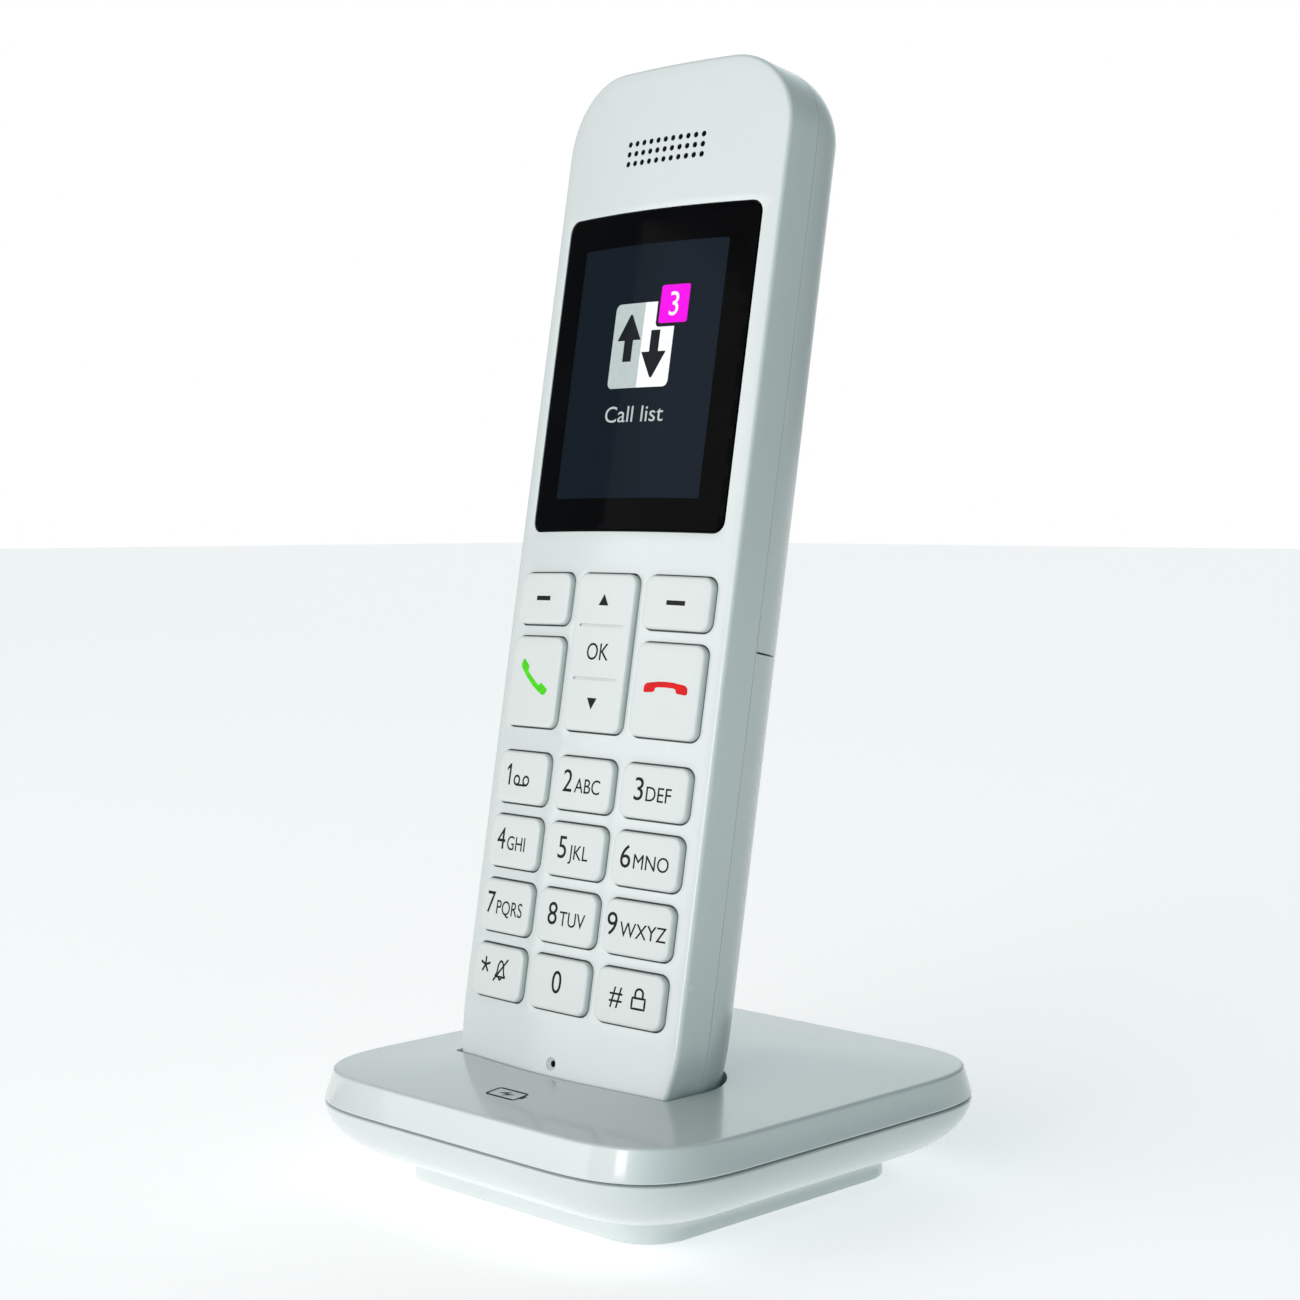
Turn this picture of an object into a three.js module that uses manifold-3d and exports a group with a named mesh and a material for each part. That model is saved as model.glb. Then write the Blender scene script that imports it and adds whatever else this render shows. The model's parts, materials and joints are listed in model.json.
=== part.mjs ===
// Cordless phone: a handset that stands in its charging cradle.
// Millimetres, +Z up. The keypad faces -Y, and the origin is the middle of the cradle's
// footprint, on the table. The handset is modelled upright in its own frame, where x runs
// across the face, y runs from the face to the back and z runs from its lower end to its top.

import * as THREE from "three";
import { mergeVertices } from "three/addons/utils/BufferGeometryUtils.js";
import Module from "manifold-3d";

const wasm = await Module();
wasm.setup();

// Clearances
const gap = 0.3; // between fixed pieces that seat on each other
const keyGap = 0.25; // all round a key in its hole
const windowGap = 0.25; // all round the display window
const dockGap = 0.8; // all round the handset in its pocket
const pinGap = 0.4; // all round a charge pin in its hole, and below the pad

// Handset envelope
const handsetWidth = 48;
const handsetLength = 170;
const partingDepth = 8.8; // from the middle of the face to the joint of the two shells
const topCorner = 12;
const bottomCornerWidth = 12;
const bottomCornerHeight = 21;
const backRounding = 11.5;
const faceEdgeRounding = 0.7;
const faceCrown = 2.2; // how far the long edges of the face stand behind its middle
const leanAngle = THREE.MathUtils.degToRad(10);
const faceWall = 1.8;
const sideWall = 1.6;
const backWall = 1.5;
const coverWall = 1.3;
const tongueWall = 1.2;

// Display
const displayMargin = 3.18; // from the side of the face to the window
const displayForehead = 23.48; // from the window to the top end
const displayChin = 6.73; // from the upper keys to the window
const windowThickness = 0.8;
const windowCorner = 2;
const windowLedge = 1.6;
const panelMargin = 3.2; // from the window's edge to the panel behind it
const panelDepth = 2.5;
const panelThickness = 2.6;
const panelCorner = 0.5;

// Keypad
const keypadBottom = 21.05; // from the lower end to the lowest row
const keyHeight = 8.45;
const keyRowGap = 1.79;
const keySideMargin = 2.98;
const keyColumnGap = 1.65;
const keyCorner = 1.6;
const keyRise = 0.9;
const keyBevel = 0.3;
const keyLip = 0.55; // the flange behind the face, beyond the key's outline
const keyLipDepth = 3.95;
const keyLipThickness = 0.65;
const keyTravel = 0.6;
const callKeyHeight = 14.6;
const callKeyGap = 3.82; // between the number keys and the call keys
const softKeyGap = 1.8; // between a call key and the soft key above it
const navGrooveWidth = 0.45;
const navGrooveDepth = 0.3;
const navGrooveMargin = 1.5;
const navPlungerWidth = 8;
const navPlungerHeight = 3.2;
const navPlungerFront = 1.9;

// Sound
const earRows = 3;
const earColumns = 11;
const earPitch = 1.6;
const earHole = 0.8;
const earFromTop = 13.8;
const earpieceRadius = 6.5;
const earpieceThickness = 3;
const micFromBottom = 13.2;
const micHole = 1;
const micFunnel = 2.1;
const micFunnelDepth = 0.55;
const micRadius = 2;
const micThickness = 2.2;
const speakerFromTop = 27;
const speakerRadius = 11.5;
const speakerThickness = 5;
const speakerSlots = 5;
const speakerSlotPitch = 2.8;
const speakerSlotWidth = 1.2;

// Circuit board, key domes and shield
const boardMargin = 1.2; // from the side wall to the board
const boardThickness = 0.8;
const boardBottom = 8;
const boardFromTop = 7;
const boardGap = 0.25; // between the pressed keys, the domes and the board
const domeThickness = 0.2;
const shieldWidth = 28;
const shieldBottomFromCover = 16;
const shieldFromTop = 44;
const shieldThickness = 2.6;
const antennaWidth = 22;
const antennaHeight = 3;
const antennaThickness = 0.4;
const antennaInset = 1; // from the board's top edge

// Batteries, size AAA
const batteryRadius = 5.15;
const batteryLength = 44.5;
const batteryNub = 1.2;
const batteryNubRadius = 1.9;
const batteryPairGap = 1.2;
const batteryBottom = 27.5;
const batteryContactThickness = 0.5;
const batteryContactSize = 8;
const batterySpringLength = 1;
const batterySpringRadius = 2.6;
const batterySpringTip = 1.6;
const wellWall = 1.2;
const wellDepth = 8;
const wellEndSpace = 2.8; // from a battery's end to the well's end wall
const wellSideSpace = 0.4;
const frameThickness = 1;
const coverAboveWell = 2.7;
const gripRidges = 4;
const gripRidgePitch = 2.4;
const gripRidgeWidth = 14;
const gripRidgeHeight = 0.35;
const gripFromCoverTop = 6;

// Handset screws and charge pads
const screwInset = 10; // from the side of the handset to the screw's axis
const screwFromBottom = 14;
const screwRadius = 1.1;
const screwHeadRadius = 2.4;
const screwHeadHeight = 1.6;
const screwThread = 4.4;
const screwDriveWidth = 0.7;
const screwDriveDepth = 0.7;
const screwDriveReach = 0.6; // as a share of the head's radius
const bossWall = 1.4;
const padSpacing = 16;
const padWidth = 4;
const padDepth = 3.6;
const padFront = 3.4;
const padLength = 3;
const padRecess = 0.1;

// Cradle
const cradleWidth = 80.68;
const cradleDepth = 83.74;
const seamHeight = 12.97;
const edgeHeight = 18.12;
const crownHeight = 2.6;
const cradleCorner = 24.7;
const cradleCornerPower = 3.26;
const bandSlopeX = 0.87;
const bandSlopeY = 1.49;
const edgeRounding = 0.6;
const seamGap = 0.3;
const footInsetY = 12.87;
const footCorner = 7.9;
const footTop = 1.6;
const footHeight = 0.4; // the shell's lower face above the table
const cradleWall = 1.8;
const pocketWall = 1.4;
const floorTop = 3;
const bowlLift = 1.26; // raises the bowl's inner face, where its wall runs flat
const lipInset = 3.3; // from the seam's outline to the lip inside the bowl
const lipWall = 1.2;
const lipDepth = 2.2;
const dockFront = -23.81; // y of the face's lower end
const weightThickness = 1.1;
const weightMargin = 2;
const cradleBoardThickness = 1;
const cradleBoardFront = 3;
const rubberFootRadius = 4.5;
const rubberFootHeight = 1.7;
const rubberFootInset = 8.5;
const cradleScrewFromPocket = 1.94; // between a screw's hole and the pocket, at the hole's end
const cradleScrewFromFoot = 4.6; // from the screw's axis to the side of the foot
const cradleScrewSpan = 22;
const cradleScrewRadius = 1.1;
const cradleScrewHead = 2.4;
const cradleScrewHeadHeight = 1.2;
const pinRadius = 1;
const pinLength = 2.5;
const bayWidth = 17;
const bayTop = 11.2;
const bayWall = 1.5;
const bayFromFoot = 0.6;
const inletWidth = 9;
const inletHeight = 5.8;
const inletLength = 10;
const inletBore = 2.2;
const inletBoreDepth = 8;
const inletPin = 0.65;
const inletPinInset = 1; // from the inlet's face to the tip of its pin
const inletMouth = 2.7;

// Fineness of the round stretches
const cornerSteps = 4;
const endCuts = 3;
const cradleCornerSteps = 5;
const keyCornerSteps = 2;
const lipSteps = 5;
const flickSteps = 3;
const roundSides = 16;
const smallSides = 12;
const earHoleSides = 4;

// ---- Solids -------------------------------------------------------------

function solidOf(geometry) {
  const bare = geometry.index ? geometry.clone() : geometry;
  for (const name of ["normal", "uv"]) bare.deleteAttribute(name);
  const merged = mergeVertices(bare, 1e-4);
  const vertices = Float32Array.from(merged.attributes.position.array);
  const corners = [];
  for (let i = 0; i < merged.index.count; i += 3) {
    const [a, b, c] = [0, 1, 2].map((k) => merged.index.getX(i + k));
    if (a !== b && b !== c && c !== a) corners.push(a, b, c);
  }
  const make = (triangles) => new wasm.Manifold(
    new wasm.Mesh({ numProp: 3, vertProperties: vertices, triVerts: Uint32Array.from(triangles) }),
  );
  const solid = make(corners);
  return solid.volume() > 0 ? solid : make(corners.reverse());
}

function geometryOf(solid) {
  const mesh = solid.getMesh();
  const geometry = new THREE.BufferGeometry();
  const positions = new Float32Array(mesh.numVert * 3);
  for (let i = 0; i < mesh.numVert; i += 1) {
    positions.set(mesh.vertProperties.subarray(i * mesh.numProp, i * mesh.numProp + 3), i * 3);
  }
  geometry.setAttribute("position", new THREE.BufferAttribute(positions, 3));
  geometry.setIndex(new THREE.BufferAttribute(Uint32Array.from(mesh.triVerts), 1));
  geometry.computeVertexNormals();
  return geometry;
}

function moved(geometry, x, y, z) {
  geometry.translate(x, y, z);
  return solidOf(geometry);
}

// A box between two corners.
function box(low, high) {
  const [x, y, z] = [0, 1, 2].map((i) => high[i] - low[i]);
  const centre = [0, 1, 2].map((i) => (high[i] + low[i]) / 2);
  return moved(new THREE.BoxGeometry(x, y, z), ...centre);
}

// A cylinder or cone along +Y from one depth to another, or along +Z.
function rodY(x, z, from, to, radius, endRadius = radius, sides = roundSides) {
  const geometry = new THREE.CylinderGeometry(endRadius, radius, to - from, sides);
  return moved(geometry, x, (from + to) / 2, z);
}

function rodZ(x, y, from, to, radius, endRadius = radius, sides = roundSides) {
  const geometry = new THREE.CylinderGeometry(endRadius, radius, to - from, sides);
  geometry.rotateX(Math.PI / 2);
  return moved(geometry, x, y, (from + to) / 2);
}

// A solid through a stack of closed rings with equal numbers of points. A fan round the
// middle of the first ring and of the last ring closes its ends.
function stackSolid(rings) {
  const count = rings[0].length;
  const last = rings.length - 1;
  const middle = (ring) => ring.reduce((sum, p) => sum.add(p), new THREE.Vector3()).divideScalar(count);
  const ends = { 0: middle(rings[0]), [last]: middle(rings[last]) };
  const geometry = new THREE.CylinderGeometry(1, 1, 1, count, last);
  const { position } = geometry.attributes;
  for (let i = 0; i < position.count; i += 1) {
    const [x, y, z] = [position.getX(i), position.getY(i), position.getZ(i)];
    const level = Math.round((0.5 - y) * last);
    const turn = Math.round((Math.atan2(x, z) / (2 * Math.PI)) * count);
    const onAxis = Math.hypot(x, z) < 0.5;
    const point = onAxis ? ends[level] : rings[level][(turn + count) % count];
    position.setXYZ(i, point.x, point.y, point.z);
  }
  return solidOf(geometry);
}

// One rounded corner: a quarter of a superellipse from its +a side to its +b side.
function quarter(radiusA, radiusB, power, steps) {
  return Array.from({ length: steps + 1 }, (_, i) => {
    const angle = (i / steps) * (Math.PI / 2);
    const a = Math.abs(Math.cos(angle)) ** (2 / power);
    const b = Math.abs(Math.sin(angle)) ** (2 / power);
    return [radiusA * (i === steps ? 0 : a), radiusB * (i === 0 ? 0 : b)];
  });
}

// A closed outline with four rounded corners, anticlockwise from its right side. Its lower
// and upper edges are cut into a number of equal stretches.
function roundedOutline(halfA, low, high, lowCorner, highCorner, power, steps, cuts = 1) {
  const right = (edge, sign, corner) => quarter(corner[0], corner[1], power, steps)
    .map(([a, b]) => [halfA - corner[0] + a, edge - sign * (corner[1] - b)]);
  const upper = right(high, 1, highCorner);
  const lower = right(low, -1, lowCorner).reverse();
  const left = (points) => points.map(([a, b]) => [-a, b]).reverse();
  const edge = (from, to) => Array.from({ length: cuts - 1 }, (_, i) => (
    [from[0] + ((to[0] - from[0]) * (i + 1)) / cuts, from[1]]
  ));
  const [upperLeft, lowerLeft] = [left(upper), left(lower)];
  const top = edge(upper[upper.length - 1], upperLeft[0]);
  const bottom = edge(lowerLeft[lowerLeft.length - 1], lower[0]);
  return [...upper, ...top, ...upperLeft, ...lowerLeft, ...bottom, ...lower];
}

function extruded(points, depth, bevel = 0) {
  const shape = new THREE.Shape(points.map(([a, b]) => new THREE.Vector2(a, b)));
  const options = { depth: depth - 2 * bevel, bevelEnabled: bevel > 0, steps: 1 };
  const rounding = { bevelThickness: bevel, bevelSize: bevel, bevelOffset: -bevel, bevelSegments: 2 };
  if (bevel > 0) Object.assign(options, rounding);
  return new THREE.ExtrudeGeometry(shape, options).translate(0, 0, bevel);
}

// A rounded rectangle in the x-z plane, extruded along +Y between two depths.
function slabXZ(centreX, centreZ, width, height, corner, from, to) {
  const round = [corner, corner];
  const points = roundedOutline(width / 2, -height / 2, height / 2, round, round, 2, keyCornerSteps);
  const geometry = extruded(points, to - from).rotateX(Math.PI / 2);
  return moved(geometry, centreX, to, centreZ);
}

// ---- Handset frame ------------------------------------------------------

const domeDepth = keyLipDepth + keyLipThickness + keyTravel + boardGap;
const boardDepth = domeDepth + domeThickness + boardGap;
const frameDepth = boardDepth + boardThickness + gap;
const batteryDepth = frameDepth + frameThickness + gap + batteryRadius;
const handsetDepth = batteryDepth + batteryRadius + gap + coverWall;
const half = handsetWidth / 2;
const crownAt = (x) => faceCrown * (x / half) ** 2;

// The handset's outline, pulled in by inset, with a depth for each x.
function handsetRing(inset, depthAt, scale = 1) {
  const lowCorner = [bottomCornerWidth - inset, bottomCornerHeight - inset];
  const highCorner = [topCorner - inset, topCorner - inset];
  const outline = roundedOutline(
    half - inset, inset, handsetLength - inset, lowCorner, highCorner, 2, cornerSteps, endCuts,
  );
  const middle = handsetLength / 2;
  return outline.map(([x, z]) => (
    new THREE.Vector3(x * scale, depthAt(x * scale), middle + (z - middle) * scale)
  ));
}

// The handset's whole outer form, grown by side round its outline, by face towards the
// front and by back towards the rear.
function envelope(side = 0, face = side, back = side) {
  const front = (extra) => (x) => crownAt(x) - face + extra;
  const rings = [0.25, 0.5, 0.75, 1].map((scale) => handsetRing(faceEdgeRounding - side, front(0), scale));
  const softened = 0.3 * faceEdgeRounding;
  rings.push(handsetRing(softened - side, front(softened)));
  rings.push(handsetRing(-side, front(faceEdgeRounding)));
  const round = backRounding + side;
  for (let i = 0; i <= cornerSteps; i += 1) {
    const angle = (i / cornerSteps) * (Math.PI / 2);
    const depth = handsetDepth + back - round * (1 - Math.sin(angle));
    rings.push(handsetRing(round * (1 - Math.cos(angle)) - side, () => depth));
  }
  return stackSolid(rings);
}

const far = 2 * handsetLength;
const past = 1; // how far a cut runs on beyond the wall it opens
const nick = 0.1;
const depthSlab = (from, to) => box([-far, from, -far], [far, to, far]);
const lengthSlab = (from, to) => box([-far, -far, from], [far, far, to]);

const dockLow = floorTop + 2 * gap + weightThickness + pocketWall + dockGap;
const dockHeight = dockLow + (handsetDepth - backRounding) * Math.sin(leanAngle)
  + backRounding * (1 - Math.cos(leanAngle));

const handset = new THREE.Group();
handset.position.set(0, dockFront, dockHeight);
handset.rotation.x = -leanAngle;
handset.updateMatrixWorld(true);

const docked = (solid) => solid.transform(handset.matrixWorld.elements);

const phone = new THREE.Group();
phone.add(handset);

const finish = (color, roughness, metalness) => (
  new THREE.MeshStandardMaterial({ color, roughness, metalness })
);
const plastic = (color, roughness = 0.4) => finish(color, roughness, 0);
const metal = (color, roughness = 0.3) => finish(color, roughness, 1);
const whiteShell = plastic(0xe9eeee, 0.35);
const whiteKey = plastic(0xeff2f2, 0.4);
const blackGlass = plastic(0x060708, 0.06);
const darkPart = plastic(0x202326, 0.5);
const boardGreen = plastic(0x1d5b3a, 0.5);
const domeFilm = plastic(0xb9bcc0, 0.35);
const batteryGreen = plastic(0x3c8f5a, 0.35);
const rubber = plastic(0x6f7477, 0.85);
const steel = metal(0xb8bcc0);
const nickel = metal(0xcfd2d4, 0.2);
const gold = metal(0xd9b45a, 0.25);

function add(group, name, solid, material) {
  const mesh = new THREE.Mesh(geometryOf(solid), material.clone());
  mesh.name = name;
  group.add(mesh);
}

// ---- Key layout ---------------------------------------------------------

const keyWidth = (handsetWidth - 2 * keySideMargin - 2 * keyColumnGap) / 3;
const keyColumn = keyWidth + keyColumnGap;
const rowCentre = (row) => keypadBottom + keyHeight / 2 + row * (keyHeight + keyRowGap);
const callKeyBottom = rowCentre(3) + keyHeight / 2 + callKeyGap;
const callCentre = callKeyBottom + callKeyHeight / 2;
const softBottom = callKeyBottom + callKeyHeight + softKeyGap;
const softCentre = softBottom + keyHeight / 2;
const keysTop = softBottom + keyHeight;
const navHeight = keysTop - callKeyBottom;
const navCentre = callKeyBottom + navHeight / 2;

const padKeys = [
  ["key_star", "key_0", "key_hash"],
  ["key_7", "key_8", "key_9"],
  ["key_4", "key_5", "key_6"],
  ["key_1", "key_2", "key_3"],
];
const keys = padKeys.flatMap((row, r) => row.map((name, c) => (
  { name, x: (c - 1) * keyColumn, z: rowCentre(r), height: keyHeight }
)));
keys.push({ name: "talk_key", x: -keyColumn, z: callCentre, height: callKeyHeight });
keys.push({ name: "end_key", x: keyColumn, z: callCentre, height: callKeyHeight });
keys.push({ name: "soft_key_left", x: -keyColumn, z: softCentre, height: keyHeight });
keys.push({ name: "soft_key_right", x: keyColumn, z: softCentre, height: keyHeight });
const navKey = { name: "nav_key", x: 0, z: navCentre, height: navHeight };

const keyHole = (key) => slabXZ(
  key.x, key.z, keyWidth + keyGap, key.height + keyGap, keyCorner + keyGap / 2, -far, partingDepth,
);

// A cap that follows the face's crown, on a flat flange behind the face.
function keySolid(key) {
  const corner = [keyCorner, keyCorner];
  const width = keyWidth - keyGap;
  const height = key.height - keyGap;
  const outline = roundedOutline(width / 2, -height / 2, height / 2, corner, corner, 2, keyCornerSteps);
  const capLength = keyLipDepth + keyRise + keyLipThickness / 2;
  const cap = extruded(outline, capLength, keyBevel).rotateX(Math.PI / 2);
  cap.translate(key.x, capLength - keyRise, key.z);
  const { position } = cap.attributes;
  for (let i = 0; i < position.count; i += 1) {
    const depth = position.getY(i);
    if (depth < keyBevel) position.setY(i, depth + crownAt(position.getX(i)));
  }
  const lipBack = keyLipDepth + keyLipThickness;
  const lip = slabXZ(
    key.x, key.z, keyWidth + 2 * keyLip, key.height + 2 * keyLip, keyCorner, keyLipDepth, lipBack,
  );
  return solidOf(cap).add(lip);
}

for (const key of keys) add(handset, key.name, keySolid(key), whiteKey);

// The centre key is one rocker with two grooves. It tilts on a plunger that it is pressed with.
const plungerRoom = box(
  [-navPlungerWidth / 2 - gap, navPlungerFront - gap, navCentre - navPlungerHeight / 2 - gap],
  [navPlungerWidth / 2 + gap, far, navCentre + navPlungerHeight / 2 + gap],
);
let rocker = keySolid(navKey).subtract(plungerRoom);
for (const side of [-1, 1]) {
  const z = navCentre + (side * navHeight) / 6;
  const reach = keyWidth / 2 - navGrooveMargin;
  rocker = rocker.subtract(box(
    [-reach, -2 * keyRise, z - navGrooveWidth / 2],
    [reach, navGrooveDepth - keyRise, z + navGrooveWidth / 2],
  ));
}
add(handset, navKey.name, rocker, whiteKey);
add(handset, "nav_plunger", box(
  [-navPlungerWidth / 2, navPlungerFront, navCentre - navPlungerHeight / 2],
  [navPlungerWidth / 2, keyLipDepth + keyLipThickness, navCentre + navPlungerHeight / 2],
), darkPart);

// ---- Front shell --------------------------------------------------------

const windowBottom = keysTop + displayChin;
const windowTop = handsetLength - displayForehead;
const windowHeight = windowTop - windowBottom;
const windowCentre = (windowTop + windowBottom) / 2;
const windowWidth = handsetWidth - 2 * displayMargin;
const windowSlab = (extra, corner = windowCorner) => slabXZ(
  0, windowCentre, windowWidth + extra, windowHeight + extra, corner, -far, far,
);

const earCentre = handsetLength - earFromTop;
const screwX = half - screwInset;
const bossRadius = screwRadius + gap + bossWall;
const sides = [["left", -1], ["right", 1]];

let frontShell = envelope().intersect(depthSlab(-far, partingDepth));
frontShell = frontShell.subtract(envelope(-sideWall, -faceWall, far / 2).intersect(depthSlab(-far, far)));
const threadDepth = frameDepth - screwThread + gap;
for (const [, side] of sides) {
  const boss = rodY(side * screwX, screwFromBottom, faceWall, frameDepth - gap, bossRadius);
  const thread = rodY(side * screwX, screwFromBottom, threadDepth, far, screwRadius + gap);
  frontShell = frontShell.add(boss).subtract(thread);
}
for (const key of [...keys, navKey]) frontShell = frontShell.subtract(keyHole(key));
const ledgeDepth = windowThickness + windowGap;
frontShell = frontShell.subtract(windowSlab(windowGap).subtract(envelope(0, -ledgeDepth, far)));
frontShell = frontShell.subtract(windowSlab(-2 * windowLedge).intersect(depthSlab(-far, partingDepth)));
for (let row = 0; row < earRows; row += 1) {
  for (let column = 0; column < earColumns; column += 1) {
    const x = (column - (earColumns - 1) / 2) * earPitch;
    const z = earCentre + (row - (earRows - 1) / 2) * earPitch;
    const hole = rodY(x, z, -past, faceWall + past, earHole / 2, earHole / 2, earHoleSides);
    frontShell = frontShell.subtract(hole);
  }
}
const micRadii = [micFunnel / 2, micHole / 2];
frontShell = frontShell.subtract(rodY(
  0, micFromBottom, -past, faceWall + past, micHole / 2, micHole / 2, smallSides,
));
frontShell = frontShell.subtract(rodY(
  0, micFromBottom, -nick, micFunnelDepth, ...micRadii, smallSides,
));
for (const [, side] of sides) {
  const x = (side * padSpacing) / 2;
  frontShell = frontShell.subtract(box(
    [x - padWidth / 2 - gap, padFront - gap, -past],
    [x + padWidth / 2 + gap, padFront + padDepth + gap, sideWall + past],
  ));
}
add(handset, "front_shell", frontShell, whiteShell);

const glass = windowSlab(-windowGap).intersect(envelope().subtract(envelope(0, -windowThickness, far)));
add(handset, "display_window", glass, blackGlass);

// ---- Inside the front ---------------------------------------------------

const panelWidth = windowWidth - 2 * panelMargin;
const panelHeight = windowHeight - 2 * panelMargin;
add(handset, "display_panel", slabXZ(
  0, windowCentre, panelWidth, panelHeight, panelCorner, panelDepth, panelDepth + panelThickness,
), darkPart);

const boardHalf = half - sideWall - boardMargin;
const tailHalf = screwX - bossRadius - gap;
const shoulder = screwFromBottom + bossRadius + gap;
const boardTop = handsetLength - boardFromTop;
const boardCorner = Math.max(topCorner - boardFromTop, 0) + boardMargin;
const board = new THREE.Shape();
board.moveTo(-tailHalf, boardBottom);
board.lineTo(tailHalf, boardBottom);
board.lineTo(tailHalf, shoulder);
board.lineTo(boardHalf, shoulder);
board.lineTo(boardHalf, boardTop - boardCorner);
board.lineTo(boardHalf - boardCorner, boardTop);
board.lineTo(boardCorner - boardHalf, boardTop);
board.lineTo(-boardHalf, boardTop - boardCorner);
board.lineTo(-boardHalf, shoulder);
board.lineTo(-tailHalf, shoulder);
const boardPlate = new THREE.ExtrudeGeometry(board, { depth: boardThickness, bevelEnabled: false });
boardPlate.rotateX(Math.PI / 2);
add(handset, "main_board", moved(boardPlate, 0, boardDepth + boardThickness, 0), boardGreen);

const domeBottom = keypadBottom - keyLip;
const domeHeight = keysTop + keyLip - domeBottom;
add(handset, "dome_sheet", slabXZ(
  0, domeBottom + domeHeight / 2, 2 * boardHalf, domeHeight, 1, domeDepth, domeDepth + domeThickness,
), domeFilm);

// A round sound capsule close behind the face.
function capsule(centre, radius, thickness) {
  const front = crownAt(radius) + faceWall + gap;
  return rodY(0, centre, front, front + thickness, radius);
}
add(handset, "earpiece", capsule(earCentre, earpieceRadius, earpieceThickness), darkPart);
add(handset, "microphone", capsule(micFromBottom, micRadius, micThickness), darkPart);

// ---- Batteries and their well -------------------------------------------

const batterySpacing = 2 * batteryRadius + batteryPairGap;
const batteryTop = batteryBottom + batteryLength;
const wellHalf = batterySpacing / 2 + batteryRadius + wellSideSpace;
const wellLow = batteryBottom - wellEndSpace;
const wellHigh = batteryTop + wellEndSpace;
const wellBack = frameDepth + frameThickness + wellDepth;
const coverTop = wellHigh + wellWall + coverAboveWell;

// The tongue is the rim of the rear shell that reaches into the front shell.
const tongueInset = sideWall + gap;
const tongue = envelope(-tongueInset).subtract(envelope(-tongueInset - tongueWall));
const rearFace = partingDepth + gap;
const rimBack = rearFace + frameThickness;
const shellLow = coverTop + gap / 2;
const tongueBand = tongue.intersect(depthSlab(frameDepth, rimBack));
const rim = envelope().subtract(envelope(-tongueInset - tongueWall));
const rimBand = rim.intersect(depthSlab(rearFace, rimBack));
const backDome = envelope().subtract(envelope(-backWall)).intersect(depthSlab(rearFace, far));
const upperPart = lengthSlab(shellLow, far);
const bulkheadSlab = lengthSlab(shellLow, shellLow + backWall);
const bulkhead = envelope().intersect(depthSlab(rearFace, far)).intersect(bulkheadSlab);
const bulkheadFoot = envelope(-tongueInset).intersect(depthSlab(frameDepth, rimBack))
  .intersect(bulkheadSlab);
const frame = envelope(-tongueInset).intersect(depthSlab(frameDepth, frameDepth + frameThickness))
  .intersect(lengthSlab(0, coverTop + backWall));
const well = box(
  [-wellHalf - wellWall, frameDepth, wellLow - wellWall],
  [wellHalf + wellWall, wellBack, wellHigh + wellWall],
).subtract(box([-wellHalf, frameDepth + frameThickness, wellLow], [wellHalf, far, wellHigh]));

let rearShell = backDome.add(rimBand).intersect(upperPart).add(bulkhead).add(bulkheadFoot);
rearShell = rearShell.add(tongueBand.intersect(depthSlab(-far, partingDepth)));
rearShell = rearShell.add(tongueBand.intersect(upperPart)).add(frame).add(well);
for (const [, side] of sides) {
  rearShell = rearShell.subtract(rodY(side * screwX, screwFromBottom, -far, far, screwRadius + gap));
  const x = (side * padSpacing) / 2;
  rearShell = rearShell.subtract(box(
    [x - padWidth / 2 - gap, -far, -past],
    [x + padWidth / 2 + gap, padFront + padDepth + gap, padLength + gap],
  ));
}
const speakerCentre = handsetLength - speakerFromTop;
for (let i = 0; i < speakerSlots; i += 1) {
  const offset = (i - (speakerSlots - 1) / 2) * speakerSlotPitch;
  const reach = Math.sqrt((speakerRadius - 2) ** 2 - offset ** 2);
  rearShell = rearShell.subtract(slabXZ(
    0, speakerCentre + offset, 2 * reach, speakerSlotWidth, 0.49 * speakerSlotWidth,
    handsetDepth - 2 * backWall, far,
  ));
}
add(handset, "rear_shell", rearShell, whiteShell);

let cover = envelope().subtract(envelope(-coverWall)).intersect(depthSlab(rearFace, far))
  .intersect(lengthSlab(-far, coverTop - gap / 2));
for (let i = 0; i < gripRidges; i += 1) {
  const z = coverTop - gripFromCoverTop - i * gripRidgePitch;
  const ridge = slabXZ(
    0, z, gripRidgeWidth, gripRidgePitch / 2, 0.24 * gripRidgePitch,
    handsetDepth - coverWall / 2, handsetDepth + gripRidgeHeight,
  );
  cover = cover.add(ridge);
}
add(handset, "battery_cover", cover, whiteShell);

const springHeight = batteryContactThickness + batterySpringLength;
const nubRoot = batteryNub + 0.5 * batteryNubRadius; // runs into the can
for (const [name, side] of sides) {
  const x = (side * batterySpacing) / 2;
  const nubUp = side < 0;
  const low = nubUp ? batteryBottom : batteryBottom + batteryNub;
  const can = rodZ(x, batteryDepth, low, low + batteryLength - batteryNub, batteryRadius);
  const nub = nubUp
    ? rodZ(x, batteryDepth, batteryTop - nubRoot, batteryTop, batteryNubRadius)
    : rodZ(x, batteryDepth, batteryBottom, batteryBottom + nubRoot, batteryNubRadius);
  add(handset, `battery_${name}`, can.add(nub), batteryGreen);
  const plate = slabXZ(x, 0, batteryContactSize, batteryContactSize, 1, 0, batteryContactThickness);
  const spring = rodY(x, 0, 0, springHeight, batterySpringRadius, batterySpringTip);
  const contact = (side < 0 ? plate : plate.add(spring)).rotate([-90, 0, 0]);
  const place = contact.translate([0, batteryDepth, wellHigh - gap]);
  add(handset, `battery_contact_${name}`, place, nickel);
}
const bridgeLow = wellLow + gap;
const bridgeSpring = rodZ(
  -batterySpacing / 2, batteryDepth, bridgeLow, bridgeLow + springHeight,
  batterySpringRadius, batterySpringTip,
);
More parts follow.
